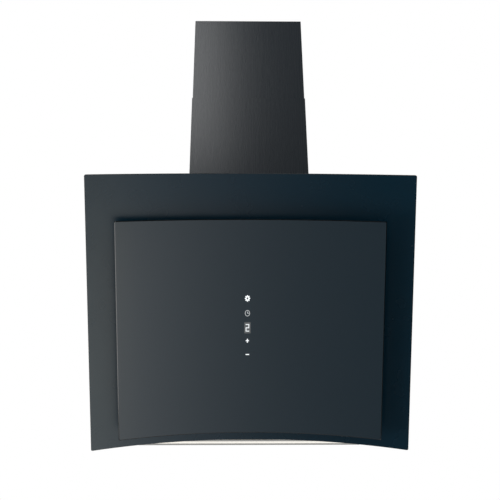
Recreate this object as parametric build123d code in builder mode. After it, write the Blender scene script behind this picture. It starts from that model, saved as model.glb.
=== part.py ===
from build123d import *

import os
from math import asin, cos, radians, sin, sqrt

# A wall-mounted range hood with a bowed sheet of black glass that leans out at the top,
# a smaller bowed glass panel that the air is drawn round, and a telescopic chimney.
# Millimetres. X runs across the hood, Y into the wall and Z up. The origin lies in the
# wall's plane, at the middle of the four wall holes.

# Slope and bow of the glass
TILT = 36.5  # lean from upright, the top towards the room
BOW = 800.0  # radius of the back glass's face, hollow towards the room
FOOT_Y = -100.0  # middle of the face's lower edge, from the wall
FOOT_Z = -200.0  # and from the middle of the wall holes

# Back glass
GLASS_WIDTH = 600.0
GLASS_HEIGHT = 520.0
GLASS_THICK = 6.0
GLASS_CORNER = 3.0
GLASS_BEVEL = 1.0

# Suction cut-out, hidden behind the front panel
OPENING_WIDTH = 370.0
OPENING_HEIGHT = 310.0
OPENING_FOOT = 80.0  # its lower edge, up the slope
OPENING_CORNER = 10.0
OPENING_MIDDLE = OPENING_FOOT + OPENING_HEIGHT / 2

# Front glass panel
PANEL_WIDTH = 489.0
PANEL_HEIGHT = 410.0
PANEL_THICK = 5.0
PANEL_FOOT = 28.0
PANEL_STANDOFF = 38.0  # its face, in front of the back glass's
PANEL_CORNER = 2.5
PANEL_BEVEL = 1.6
PANEL_REAR = PANEL_THICK - PANEL_STANDOFF  # its rear face, as a depth behind the glass's

# Carrier bonded behind the front glass
CARRIER_SHEET = 1.5
CARRIER_HALF = 218.0
CARRIER_FOOT = 50.0
CARRIER_TOP = 434.0
CARRIER_RAIL = 44.0
CARRIER_REAR = PANEL_REAR + CARRIER_SHEET

# Casing of folded steel
SHEET = 1.2
CASE_HALF = 240.0
CASE_BOTTOM = -193.5
CASE_TOP = 140.0
CASE_REACH = 420.0  # blanks run this far from the wall before the bow trims them
REAR_STEP_Y = -38.0  # from here the underside rises to the wall
REAR_STEP_Z = -180.0
FLANGE = 15.0

# Soft strip between the glass and the front frame
GASKET = 2.0
FRAME_FACE = GLASS_THICK + GASKET
FRAME_REAR = FRAME_FACE + SHEET

# Screws and the clearances that they and their holes are given
HOLE_CLEAR = 0.1
SEAT_GAP = 0.1  # under a flat head on the bowed glass
DRILL = 12.0  # how far a hole is run, well past any sheet
CROSS_WIDE = 0.9
CROSS_DEEP = 0.9

# Screws in the casing's sides
SIDE_SCREW_R = 1.7
SIDE_SCREW_LONG = 6.0
SIDE_HEAD_R = 3.6
SIDE_HEAD_TALL = 2.0
SIDE_HEAD_ROUND = 0.8
SIDE_CROSS = 4.2

# Screws that hold the glass, on soft washers with a sleeve through it
GLASS_SCREW_R = 2.1
GLASS_SCREW_LONG = 16.0
GLASS_HEAD_R = 4.5
GLASS_HEAD_TALL = 2.6
GLASS_SOCKET_R = 1.7
GLASS_SOCKET_DEEP = 1.6
GLASS_HOLE_R = 3.5
WASHER_R = 7.5
WASHER_THICK = 1.5
SLEEVE_R = 3.2
FRAME_HOLE_R = 2.2
GASKET_HOLE_R = 3.0

# Wall holes
WALL_HOLE_R = 4.0
WALL_HOLES_X = 200.0
WALL_HOLES_Z = 160.0

# Grease filters in their tray
TRAY_SHEET = 1.0
TRAY_DEPTH = 33.0  # floor of the tray, behind the glass's face at its middle
FILTER_THICK = 10.0
FILTER_WIDTH = 183.0
FILTER_HEIGHT = 307.0
FILTER_BORDER = 14.0
FILTER_SHIFT = 92.75  # middle of each filter, from the middle of the hood
FILTER_SEAT = 9.0  # ledge of the tray's floor that each filter lies on
MESH_THICK = 6.0
FOLD_ROUND = 2.0
BLANK_DEPTH = 60.0  # depth of a wall's blank before the bow trims it

# Filter latches
LATCH_WIDTH = 44.0
LATCH_TALL = 11.0
LATCH_THICK = 3.0
LATCH_RIB = 1.2
LATCH_RIB_PITCH = 3.0
LATCH_RIB_INSET = 7.0  # from each end of the latch
NOSE_WIDTH = 20.0
NOSE_REACH = 3.6
NOSE_THICK = 2.0
NOSE_CLEAR = 1.0
NOSE_DROP = 0.4  # slot's floor, under the nose
NOSE_SLOT_TALL = 8.0

# Front panel's hinges, catches and bumpers
HINGE_CLIMB = 424.0
HINGE_LIFT = 48.0  # hinge line, in front of the glass's face at its middle
HINGE_PIN_R = 3.0
HINGE_PIN_LONG = 14.5
PIN_HEAD_R = 4.6
PIN_HEAD_TALL = 2.5
HINGE_CLEAR = 0.06
HINGE_SHEET = 3.0
BRACKET_BASE = 2.5
BRACKET_INNER = 190.0
BRACKET_OUTER = 216.0
BRACKET_FOOT = 46.0  # lower end of the base, below the hinge line
BRACKET_TALL = 52.0
BRACKET_EAR_X = 201.0
EAR_R = 6.0
EAR_FOOT = 27.6  # foot of the ear, sunk in the bracket's bowed base
ARM_X = 206.0
ARM_DROP = 54.0  # how far the arm runs down the carrier
HINGE_SCREW_R = 2.1
HINGE_SCREW_LONG = 14.0
HINGE_SCREW_DROP = 33.0
HINGE_HEAD_R = 4.0
HINGE_HEAD_TALL = 2.2
HINGE_SOCKET_R = 1.5
HINGE_SOCKET_DEEP = 1.3
CATCH_ACROSS = 195.0
CATCH_CLIMB = 66.0
CATCH_BASE_R = 13.0
CATCH_BASE_TALL = 3.0
CATCH_R = 8.5
CATCH_GAP = 0.6
STRIKE_HALF = 14.0
STRIKE_THICK = 1.5
BUMPER_ACROSS = 120.0
BUMPER_CLIMB = 40.5
BUMPER_FOOT_R = 8.0
BUMPER_TIP_R = 6.0
BUMPER_GAP = 0.6

# Touch controls, a little left of the middle
TOUCH_X = -5.0
TOUCH_FOOT = 168.0
TOUCH_TALL = 140.0
TOUCH_WIDE = 50.0
TOUCH_DEEP = 14.0
TOUCH_WALL = 1.6
TOUCH_BOARD_LIFT = 5.0  # board above the housing's floor
TOUCH_BOARD_THICK = 1.6
SENSOR_R = 5.5
SENSOR_TALL = 4.5
DISPLAY_WIDE = 14.0  # the display on the board, behind the window
DISPLAY_TALL = 24.0

# Lit marks and the display, up the slope and across
LAMP_CLIMB = 289.6
TIMER_CLIMB = 261.3
WINDOW_CLIMB = 233.5
PLUS_CLIMB = 208.6
MINUS_CLIMB = 182.0
MARK_X = TOUCH_X - 0.5
MARK_THICK = 0.2
MARK_REACH = 90.0  # how far a mark is run before the skin trims it
MARK_SLIM = 0.8  # the round marks are ovals, this wide for their height
LAMP_RING_R = 4.7
LAMP_EYE_R = 1.9
LAMP_TEETH = 8
LAMP_TOOTH = 2.0
LAMP_TOOTH_R = 5.0
TIMER_R = 5.8
TIMER_STROKE = 0.9
TIMER_HAND = 3.6
PLUS_WIDE = 6.0
PLUS_TALL = 7.4
MINUS_WIDE = 6.6
SIGN_STROKE = 1.8
WINDOW_WIDE = 12.0
WINDOW_TALL = 21.6
WINDOW_ROUND = 1.5
DIGIT_TALL = 12.7
DIGIT_WIDE = 6.8
DIGIT_STROKE = 1.6

# Light bar under the casing
BAR_LENGTH = 440.0
BAR_FLANGE_FRONT = -78.5
BAR_FLANGE_REAR = -38.5
BAR_INSIDE_FRONT = -67.0
BAR_INSIDE_REAR = -50.0
BAR_WALL = 1.5
BAR_DEEP = 14.0
COVER_WALL = 1.2
COVER_LEG = 5.0
COVER_EDGE = 0.2  # the lit face's long edges, above the lips' underside
COVER_CROWN = 0.4  # its middle, below them
CAP_THICK = 1.5
CAP_LIP = 4.0
LED_BOARD_WIDE = 12.0
LED_BOARD_THICK = 1.2
LED_BOARD_GAP = 3.0  # at each end of the profile
LED_PITCH = 10.0
LED_LONG = 3.5
LED_WIDE = 2.8
LED_TALL = 0.8

# Fan: a scroll round a double-inlet impeller that turns about X
FAN_Y = -80.0
FAN_Z = 5.0
SCROLL_HALF = 75.0
SCROLL_WALL = 2.0
SCROLL_TOP = 92.0
SCROLL_LIP = 8.0  # the outlet's near wall, past the shaft
SCROLL_START = 66.0  # radius at the tongue
SCROLL_QUARTER = 70.0
SCROLL_END = 78.0
SCROLL_TURN = 0.8  # angle to the middle of each arc, in radians
SCROLL_OVERRUN = 10.0  # how far the hollow is run past the mouth
INLET_R = 50.0
INLET_SEAT = 4.0
RING_START = 66.0
RING_LIP = 1.6
RING_FLARE = 3.8
RING_BELL = 10.0
RING_FLANGE = 18.0
RING_THICK = 2.0
RING_THROAT = 2.6
IMPELLER_R = 60.0
BLADE_INNER_R = 48.0
IMPELLER_HALF = 60.0
DISC_HALF = 2.0
HUB_R = 12.0
HUB_HALF = 12.0
END_RING = 3.0
BLADES = 36
BLADE_THICK = 1.2
BLADE_TURN = 35.0
BLADE_GAP = 0.5  # from the end rings' edges
SHAFT_R = 4.0
SHAFT_CLEAR = 0.05
SHAFT_START = -16.0
SHAFT_END = 74.0
BEARING_R = 11.0
BEARING_LONG = 7.0
BEARING_FRONT = 2.0  # from the motor's front face
BEARING_REAR = 5.0  # from its rear face
MOTOR_R = 34.0
MOTOR_START = 22.0
MOTOR_END = 80.0
MOTOR_ROUND = 4.0
SPIDER_THICK = 2.5
SPIDER_WIDE = 10.0
SPIDER_RIM = 6.0  # the hub stops this far inside the motor's edge
SPIDER_ARMS = 3
SPIDER_START = 30.0
SPIDER_ARM_LONG = 44.0
SPIDER_FOOT_R = 64.0
SPIDER_FOOT = 5.0

# Air outlet and its damper
DUCT_R = 75.0
DUCT_WALL = 3.0
DUCT_Y = -112.0
DUCT_TOP = 205.0
COLLAR_FLANGE_R = 92.0
COLLAR_FLANGE = 3.0
COLLAR_HOLES = 4
COLLAR_HOLES_R = 84.0
COLLAR_HOLE_R = 2.2
ADAPTER_ROUND = 4.0
STOP_THICK = 2.0
STOP_WIDE = 4.0
STOP_GAP = 12.0
FLAP_Z = 166.0
FLAP_R = 70.8
FLAP_THICK = 1.2
FLAP_START = 4.2
DAMPER_PIN_R = 1.5
DAMPER_CLEAR = 0.06
DAMPER_PIN_SHORT = 0.5  # its ends, inside the spigot's face
KNUCKLE_R = 3.2
KNUCKLE_LONG = 12.0
KNUCKLE_NEAR = 20.0
KNUCKLE_FAR = 42.0

# Chimney
CHIMNEY_WIDTH = 256.0
CHIMNEY_DEPTH = 224.0
CHIMNEY_SHEET = 1.0
CHIMNEY_SLIP = 0.4
CHIMNEY_SEAM = 546.0
CHIMNEY_TOP = 781.0
UPPER_LENGTH = 440.0
RETURN_FLANGE = 12.0
CHIMNEY_FOOT = 18.0
CHIMNEY_FOLD = 1.4
CHIMNEY_SCREW_Y = -45.0
CHIMNEY_SCREW_R = 1.7
CHIMNEY_SCREW_LONG = 6.0
CHIMNEY_HEAD_R = 3.8
CHIMNEY_HEAD_TALL = 2.0
CHIMNEY_HOLE_R = 2.1
UPPER_HALF = CHIMNEY_WIDTH / 2 - CHIMNEY_SHEET - CHIMNEY_SLIP
UPPER_INSIDE = UPPER_HALF - CHIMNEY_SHEET

# Chimney's wall strap
STRAP_SHEET = 1.3
STRAP_Z = 758.0
STRAP_TALL = 20.0
STRAP_HALF = 112.0
STRAP_STEP = 30.0
STRAP_SCREW_HOLE_R = 1.8
STRAP_HOLE_R = 3.0
STRAP_HOLES_X = 160.0

# Control box
BOX_LEFT = -228.0
BOX_RIGHT = -118.0
BOX_FRONT = -62.0
BOX_REAR = -8.0
BOX_FOOT = 4.0
BOX_TOP = 112.0
BOX_WALL = 2.0
BOX_ROUND = 5.0
BOARD_LIFT = 8.0
BOARD_THICK = 1.6
BOARD_WIDE = 96.0
BOARD_TALL = 94.0
BOARD_PARTS = ((-26, 22, 32, 28), (18, -30, 12, 16), (34, -30, 12, 16), (-30, -32, 24, 12))
BOARD_PARTS_TALL = 18.0
CAPACITOR_R = 13.0
CAPACITOR_LONG = 44.0
CAPACITOR_ACROSS = 24.0
CAPACITOR_UP = 18.0
CAPACITOR_LIFT = 30.0

# Cable gland in the top sheet, beside the duct
GLAND_X = 98.0
GLAND_Y = -34.0
GLAND_R = 7.9
GLAND_NUT_R = 11.0
GLAND_NUT_TALL = 5.0
GLAND_ABOVE = 18.0
GLAND_BELOW = 7.0
GLAND_BORE_R = 4.0
GLAND_BORE_LONG = 14.0  # the seal at its upper end, narrower than the way below
GLAND_WIDE_R = 5.5
GLAND_HOLE_R = 8.0

CLIMB = Vector(0, -sin(radians(TILT)), cos(radians(TILT)))
FACING = Vector(0, -cos(radians(TILT)), -sin(radians(TILT)))
ACROSS = Vector(1, 0, 0)
FOOT = Vector(0, FOOT_Y, FOOT_Z)

# The glass seen from the room, along its slope and from the side
GLASS_FACE = Plane(origin=FOOT, x_dir=ACROSS, z_dir=FACING)
GLASS_END = Plane(origin=FOOT, x_dir=ACROSS, z_dir=CLIMB)
GLASS_SIDE = Plane(origin=FOOT, x_dir=CLIMB, z_dir=ACROSS)

SIDES = (("left", -1), ("right", 1))

os.makedirs("parts", exist_ok=True)


def save(piece, name):
    """Labels a finished piece and writes it under its name."""
    piece.part.label = name
    export_step(piece.part, f"parts/{name}.step")


def bow_y(depth, across):
    """Height in the end view of the bowed face that lies a depth behind the glass's face."""
    return sqrt((BOW + depth) ** 2 - across**2) - BOW


def bowed_strip(left, right, front, back, climb=0.0):
    """Section across the slope between two bowed faces, given by their depths."""
    middle = (left + right) / 2
    with BuildSketch(GLASS_END.offset(climb)) as strip:
        with BuildLine():
            ThreePointArc(*[(u, bow_y(front, u)) for u in (left, middle, right)])
            Line((right, bow_y(front, right)), (right, bow_y(back, right)))
            ThreePointArc(*[(u, bow_y(back, u)) for u in (right, middle, left)])
            Line((left, bow_y(back, left)), (left, bow_y(front, left)))
        make_face()
    return strip.sketch


def bow_disc(depth):
    """Section of all that lies to the room side of a bowed face."""
    with BuildSketch(GLASS_END.offset(-400)) as disc:
        with Locations((0, -BOW)):
            Circle(BOW + depth)
    return disc.sketch


def cut_room_side(depth):
    """Cuts away what stands to the room side of a bowed face."""
    extrude(bow_disc(depth), amount=1400, mode=Mode.SUBTRACT)


def bow_plane(across, climb, depth=0.0):
    """Plane square to the bow, looking to the room, on the face at that depth."""
    turn = asin(across / BOW)
    square = FACING * cos(turn) - ACROSS * sin(turn)
    point = FOOT + CLIMB * climb + ACROSS * across + FACING * (BOW - BOW * cos(turn))
    return Plane(origin=point - square * depth, x_dir=CLIMB, z_dir=square)


def opening_prism(width, height, corner, middle=OPENING_MIDDLE):
    """Rounded window through the glass and what lies behind it."""
    with BuildSketch(GLASS_FACE.offset(-60)) as window:
        with Locations((0, middle)):
            RectangleRounded(width, height, corner)
    return extrude(window.sketch, amount=160, mode=Mode.PRIVATE)


def case_block(inset):
    """Block between the casing's side, top and bottom sheets."""
    block = Box(
        2 * (CASE_HALF - inset),
        CASE_REACH,
        CASE_TOP - CASE_BOTTOM - 2 * inset,
        align=(Align.CENTER, Align.MAX, Align.MIN),
        mode=Mode.PRIVATE,
    )
    return Pos(0, 0, CASE_BOTTOM + inset) * block


# ---------------------------------------------------------------- casing

# Places of the screws in the side sheets, as distance from the wall and height
side_screw_places = [(-7.5, -140), (-7.5, 0), (-7.5, 118), (-90, 132), (-200, 132), (-100, -186)]
side_screw_planes = [
    Plane(origin=(sign * CASE_HALF, y, z), x_dir=(0, 1, 0), z_dir=(sign, 0, 0))
    for sign in (-1, 1)
    for y, z in side_screw_places
]


def drill_side_holes():
    """Drills the side screws' holes through a sheet and its flanges."""
    with Locations(*side_screw_planes):
        Cylinder(SIDE_SCREW_R + HOLE_CLEAR, FLANGE, mode=Mode.SUBTRACT)


# Rear sheet against the wall, with flanges that run forward inside the side sheets
with BuildPart() as back_panel:
    inner_half = CASE_HALF - SHEET
    foot = REAR_STEP_Z + SHEET
    with BuildSketch(Plane.XY.offset(foot)) as plan:
        Rectangle(2 * inner_half, FLANGE, align=(Align.CENTER, Align.MAX))
        with Locations((0, -SHEET)):
            Rectangle(
                2 * (inner_half - SHEET),
                FLANGE,
                align=(Align.CENTER, Align.MAX),
                mode=Mode.SUBTRACT,
            )
    extrude(amount=CASE_TOP - SHEET - foot)
    with BuildSketch(Plane.XZ.offset(-1)) as holes:
        with GridLocations(WALL_HOLES_X, WALL_HOLES_Z, 2, 2):
            Circle(WALL_HOLE_R)
    extrude(amount=SHEET + 2, mode=Mode.SUBTRACT)
    drill_side_holes()
save(back_panel, "back_panel")

# Side sheets, trimmed by the bow so that they meet the gasket
for side, sign in SIDES:
    with BuildPart() as side_panel:
        with BuildSketch(Plane.YZ.offset(sign * CASE_HALF)) as profile:
            with BuildLine():
                Polyline(
                    (0, REAR_STEP_Z),
                    (REAR_STEP_Y, CASE_BOTTOM),
                    (-CASE_REACH, CASE_BOTTOM),
                    (-CASE_REACH, CASE_TOP),
                    (0, CASE_TOP),
                    close=True,
                )
            make_face()
        extrude(amount=-sign * SHEET)
        cut_room_side(FRAME_FACE)
        drill_side_holes()
    save(side_panel, f"side_panel_{side}")

# Top sheet with the air outlet, the gland's hole and flanges down inside the sides
with BuildPart() as top_panel:
    with BuildSketch(Plane.XZ) as profile:
        with Locations((0, CASE_TOP)):
            Rectangle(2 * (CASE_HALF - SHEET), FLANGE, align=(Align.CENTER, Align.MAX))
        with Locations((0, CASE_TOP - SHEET)):
            Rectangle(
                2 * (CASE_HALF - 2 * SHEET),
                FLANGE,
                align=(Align.CENTER, Align.MAX),
                mode=Mode.SUBTRACT,
            )
    extrude(amount=CASE_REACH)
    with Locations((0, -SHEET - FLANGE / 2, CASE_TOP - SHEET)):
        Box(
            2 * CASE_HALF,
            FLANGE + 2 * SHEET,
            FLANGE,
            align=(Align.CENTER, Align.CENTER, Align.MAX),
            mode=Mode.SUBTRACT,
        )
    cut_room_side(FRAME_REAR)
    with Locations((0, DUCT_Y, CASE_TOP)):
        Cylinder(DUCT_R - DUCT_WALL, 4 * SHEET, mode=Mode.SUBTRACT)
    with Locations((GLAND_X, GLAND_Y, CASE_TOP)):
        Cylinder(GLAND_HOLE_R, 4 * SHEET, mode=Mode.SUBTRACT)
    drill_side_holes()
save(top_panel, "top_panel")

# Underside: level behind the glass, then rising to the wall so that the bar lights it
with BuildPart() as bottom_panel:
    with BuildSketch(Plane.YZ.offset(-CASE_HALF + SHEET)) as profile:
        with BuildLine():
            Polyline(
                (-CASE_REACH, CASE_BOTTOM),
                (REAR_STEP_Y, CASE_BOTTOM),
                (0, REAR_STEP_Z),
                (0, REAR_STEP_Z + SHEET),
                (REAR_STEP_Y - 0.2, CASE_BOTTOM + SHEET),
                (-CASE_REACH, CASE_BOTTOM + SHEET),
                close=True,
            )
        make_face()
    extrude(amount=2 * (CASE_HALF - SHEET))
    for edge_x in (-CASE_HALF + SHEET, CASE_HALF - 2 * SHEET):
        with Locations((edge_x, REAR_STEP_Y - 6, CASE_BOTTOM)):
            Box(SHEET, CASE_REACH, FLANGE, align=(Align.MIN, Align.MAX, Align.MIN))
    cut_room_side(FRAME_REAR)
    with Locations((0, (BAR_INSIDE_FRONT + BAR_INSIDE_REAR) / 2, CASE_BOTTOM)):
        Box(
            BAR_LENGTH + 4,
            BAR_INSIDE_REAR - BAR_INSIDE_FRONT + 2 * BAR_WALL,
            4 * SHEET,
            mode=Mode.SUBTRACT,
        )
    drill_side_holes()
save(bottom_panel, "bottom_panel")

# Bowed frame that closes the casing's front and carries the glass
glass_screw_places = [(u, v) for u in (-219, 219) for v in (120, 235, 350)]
glass_screw_places += [(u, v) for u in (-70, 70) for v in (62, 407)]
hinge_screw_places = [(u, HINGE_CLIMB - HINGE_SCREW_DROP) for u in (-212, -196, 196, 212)]
drill_planes = [bow_plane(u, v, FRAME_FACE) for u, v in glass_screw_places + hinge_screw_places]

with BuildPart() as front_frame:
    sheet = bowed_strip(-CASE_HALF + SHEET, CASE_HALF - SHEET, FRAME_FACE, FRAME_REAR)
    extrude(sheet, amount=GLASS_HEIGHT)
    add(case_block(SHEET), mode=Mode.INTERSECT)
    add(opening_prism(OPENING_WIDTH, OPENING_HEIGHT, OPENING_CORNER), mode=Mode.SUBTRACT)
    with Locations(*drill_planes):
        Cylinder(FRAME_HOLE_R, DRILL, mode=Mode.SUBTRACT)
save(front_frame, "front_frame")

# Soft gasket between the frame and the glass
with BuildPart() as glass_gasket:
    extrude(bowed_strip(-CASE_HALF, CASE_HALF, GLASS_THICK, FRAME_FACE), amount=GLASS_HEIGHT)
    add(case_block(0), mode=Mode.INTERSECT)
    add(opening_prism(OPENING_WIDTH + 24, OPENING_HEIGHT + 24, OPENING_CORNER + 4), mode=Mode.SUBTRACT)
    with Locations(*drill_planes):
        Cylinder(GASKET_HOLE_R, DRILL, mode=Mode.SUBTRACT)
save(glass_gasket, "glass_gasket")

# Cross-head screws in the side sheets, into the rear, top and bottom flanges
with BuildPart() as casing_screws:
    with Locations(*side_screw_planes):
        Cylinder(SIDE_SCREW_R, SIDE_SCREW_LONG, align=(Align.CENTER, Align.CENTER, Align.MAX))
        Cylinder(SIDE_HEAD_R, SIDE_HEAD_TALL, align=(Align.CENTER, Align.CENTER, Align.MIN))
    head_tops = edges().filter_by(lambda e: abs(e.center().X) > CASE_HALF + SIDE_HEAD_TALL - 0.01)
    fillet(head_tops, SIDE_HEAD_ROUND)
    with Locations(*[p.offset(SIDE_HEAD_TALL) for p in side_screw_planes]):
        Box(SIDE_CROSS, CROSS_WIDE, 2 * CROSS_DEEP, mode=Mode.SUBTRACT)
        Box(CROSS_WIDE, SIDE_CROSS, 2 * CROSS_DEEP, mode=Mode.SUBTRACT)
save(casing_screws, "casing_screws")

# ---------------------------------------------------------------- back glass

with BuildPart() as back_glass:
    extrude(bowed_strip(-GLASS_WIDTH / 2, GLASS_WIDTH / 2, 0, GLASS_THICK), amount=GLASS_HEIGHT)
    fillet(edges().filter_by(lambda e: e.length < 2 * GLASS_THICK), GLASS_CORNER)
    shells = faces().filter_by(GeomType.CYLINDER).filter_by(lambda f: f.area > 10000)
    chamfer(shells.edges(), GLASS_BEVEL)
    add(opening_prism(OPENING_WIDTH, OPENING_HEIGHT, OPENING_CORNER), mode=Mode.SUBTRACT)
    with Locations(*drill_planes):
        Cylinder(GLASS_HOLE_R, 2 * DRILL, mode=Mode.SUBTRACT)
save(back_glass, "back_glass")

# Screws that hold the glass, on soft washers that sit on its face
with BuildPart() as glass_washers:
    with Locations(*[bow_plane(u, v, -SEAT_GAP) for u, v in glass_screw_places]):
        Cylinder(WASHER_R, WASHER_THICK, align=(Align.CENTER, Align.CENTER, Align.MIN))
        Cylinder(SLEEVE_R, GLASS_THICK, align=(Align.CENTER, Align.CENTER, Align.MAX))
        Cylinder(GLASS_SCREW_R + HOLE_CLEAR, 4 * DRILL, mode=Mode.SUBTRACT)
save(glass_washers, "glass_washers")

with BuildPart() as glass_screws:
    with Locations(*[bow_plane(u, v, -SEAT_GAP - WASHER_THICK) for u, v in glass_screw_places]):
        Cylinder(GLASS_HEAD_R, GLASS_HEAD_TALL, align=(Align.CENTER, Align.CENTER, Align.MIN))
        Cylinder(GLASS_SCREW_R, GLASS_SCREW_LONG, align=(Align.CENTER, Align.CENTER, Align.MAX))
        with Locations((0, 0, GLASS_HEAD_TALL)):
            Cylinder(GLASS_SOCKET_R, 2 * GLASS_SOCKET_DEEP, mode=Mode.SUBTRACT)
save(glass_screws, "glass_screws")

# ---------------------------------------------------------------- front panel

# Bowed front glass about the same axis, with polished bevels all round
with BuildPart() as front_glass:
    blank = bowed_strip(-PANEL_WIDTH / 2, PANEL_WIDTH / 2, -PANEL_STANDOFF, PANEL_REAR, PANEL_FOOT)
    extrude(blank, amount=PANEL_HEIGHT)
    fillet(edges().filter_by(lambda e: e.length < 2 * PANEL_THICK), PANEL_CORNER)
    shells = faces().filter_by(GeomType.CYLINDER).filter_by(lambda f: f.area > 10000)
    chamfer(shells.edges(), PANEL_BEVEL)
save(front_glass, "front_glass")

# Steel carrier bonded to its rear: a bowed ring
with BuildPart() as panel_carrier:
    ring = bowed_strip(-CARRIER_HALF, CARRIER_HALF, PANEL_REAR, CARRIER_REAR, CARRIER_FOOT)
    extrude(ring, amount=CARRIER_TOP - CARRIER_FOOT)
    window_height = CARRIER_TOP - CARRIER_FOOT - 2 * CARRIER_RAIL
    window_middle = (CARRIER_TOP + CARRIER_FOOT) / 2
    window_width = 2 * (CARRIER_HALF - CARRIER_RAIL)
    add(opening_prism(window_width, window_height, 12, window_middle), mode=Mode.SUBTRACT)
save(panel_carrier, "panel_carrier")

def hinge_plane(across):
    """Side view with its middle on the hinge line: up the slope, then to the room."""
    on_line = GLASS_SIDE.from_local_coords((HINGE_CLIMB, HINGE_LIFT, across))
    return Plane(origin=on_line, x_dir=CLIMB, z_dir=ACROSS)


# Hinges at the panel's upper edge: bracket on the glass, arm on the carrier, pin between
for side, sign in SIDES:
    with BuildPart() as hinge_bracket:
        inner, outer = sorted((sign * BRACKET_INNER, sign * BRACKET_OUTER))
        base = bowed_strip(inner, outer, -BRACKET_BASE, 0, HINGE_CLIMB - BRACKET_FOOT)
        extrude(base, amount=BRACKET_TALL)
        ear_x = BRACKET_EAR_X if sign > 0 else -BRACKET_EAR_X - HINGE_SHEET
        ear_foot = EAR_FOOT - HINGE_LIFT
        with BuildSketch(hinge_plane(ear_x)) as ear:
            with BuildLine():
                Polyline((-EAR_R, 0), (-16, ear_foot), (5, ear_foot), (EAR_R, 0))
                ThreePointArc((EAR_R, 0), (0, EAR_R), (-EAR_R, 0))
            make_face()
            Circle(HINGE_PIN_R, mode=Mode.SUBTRACT)
        extrude(amount=HINGE_SHEET)
        with Locations(*[bow_plane(u, v) for u, v in hinge_screw_places if u * sign > 0]):
            Cylinder(HINGE_SCREW_R + HOLE_CLEAR, DRILL, mode=Mode.SUBTRACT)
    save(hinge_bracket, f"hinge_bracket_{side}")

    with BuildPart() as hinge_arm:
        arm_x = ARM_X if sign > 0 else -ARM_X - HINGE_SHEET
        with BuildSketch(hinge_plane(arm_x)) as blade:
            with BuildLine():
                Polyline(
                    (EAR_R, 0),
                    (EAR_R, 18),
                    (-ARM_DROP, 18),
                    (-ARM_DROP, 9),
                    (-32, 9),
                    (-5, -4),
                )
                ThreePointArc((-5, -4), (2, -6), (EAR_R, 0))
            make_face()
            Circle(HINGE_PIN_R + HINGE_CLEAR, mode=Mode.SUBTRACT)
        extrude(amount=HINGE_SHEET)
        cut_room_side(CARRIER_REAR)
    save(hinge_arm, f"hinge_arm_{side}")

with BuildPart() as hinge_pins:
    for side, sign in SIDES:
        pin_foot = hinge_plane(sign * (BRACKET_EAR_X - PIN_HEAD_TALL)).origin
        with Locations(Plane(origin=pin_foot, z_dir=(sign, 0, 0))):
            Cylinder(PIN_HEAD_R, PIN_HEAD_TALL, align=(Align.CENTER, Align.CENTER, Align.MIN))
            Cylinder(HINGE_PIN_R, HINGE_PIN_LONG, align=(Align.CENTER, Align.CENTER, Align.MIN))
save(hinge_pins, "hinge_pins")

with BuildPart() as hinge_screws:
    with Locations(*[bow_plane(u, v, -BRACKET_BASE - SEAT_GAP) for u, v in hinge_screw_places]):
        Cylinder(HINGE_HEAD_R, HINGE_HEAD_TALL, align=(Align.CENTER, Align.CENTER, Align.MIN))
        Cylinder(HINGE_SCREW_R, HINGE_SCREW_LONG, align=(Align.CENTER, Align.CENTER, Align.MAX))
        with Locations((0, 0, HINGE_HEAD_TALL)):
            Cylinder(HINGE_SOCKET_R, 2 * HINGE_SOCKET_DEEP, mode=Mode.SUBTRACT)
save(hinge_screws, "hinge_screws")

# Magnetic catches on the glass, the steel plates they hold, and soft bumpers
catch_seat = 2 * SEAT_GAP
catch_tall = -CARRIER_REAR - STRIKE_THICK - CATCH_GAP - catch_seat
with BuildPart() as magnet_catches:
    with Locations(*[bow_plane(s * CATCH_ACROSS, CATCH_CLIMB, -catch_seat) for s in (-1, 1)]):
        Cylinder(CATCH_BASE_R, CATCH_BASE_TALL, align=(Align.CENTER, Align.CENTER, Align.MIN))
        Cylinder(CATCH_R, catch_tall, align=(Align.CENTER, Align.CENTER, Align.MIN))
save(magnet_catches, "magnet_catches")

with BuildPart() as strike_plates:
    for s in (-1, 1):
        inner, outer = [s * CATCH_ACROSS + edge for edge in (-STRIKE_HALF, STRIKE_HALF)]
        strike_rear = CARRIER_REAR + STRIKE_THICK
        plate = bowed_strip(inner, outer, CARRIER_REAR, strike_rear, CATCH_CLIMB - STRIKE_HALF)
        extrude(plate, amount=2 * STRIKE_HALF)
save(strike_plates, "strike_plates")

with BuildPart() as panel_bumpers:
    with Locations(*[bow_plane(s * BUMPER_ACROSS, BUMPER_CLIMB, -SEAT_GAP) for s in (-1, 1)]):
        Cone(
            BUMPER_FOOT_R,
            BUMPER_TIP_R,
            -PANEL_REAR - BUMPER_GAP,
            align=(Align.CENTER, Align.CENTER, Align.MIN),
        )
save(panel_bumpers, "panel_bumpers")

# Touch controls behind the glass: open housing and its board
touch_floor = GLASS_FACE.offset(-PANEL_REAR - TOUCH_DEEP)
with BuildPart() as touch_housing:
    with BuildSketch(touch_floor) as tray:
        with Locations((TOUCH_X, TOUCH_FOOT + TOUCH_TALL / 2)):
            RectangleRounded(TOUCH_WIDE, TOUCH_TALL, 4)
    extrude(amount=TOUCH_DEEP + 4)
    with BuildSketch(touch_floor.offset(TOUCH_WALL)) as hollow:
        with Locations((TOUCH_X, TOUCH_FOOT + TOUCH_TALL / 2)):
            RectangleRounded(TOUCH_WIDE - 2 * TOUCH_WALL, TOUCH_TALL - 2 * TOUCH_WALL, 2.4)
    extrude(amount=TOUCH_DEEP + 4, mode=Mode.SUBTRACT)
    cut_room_side(PANEL_REAR)
save(touch_housing, "touch_housing")

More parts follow.
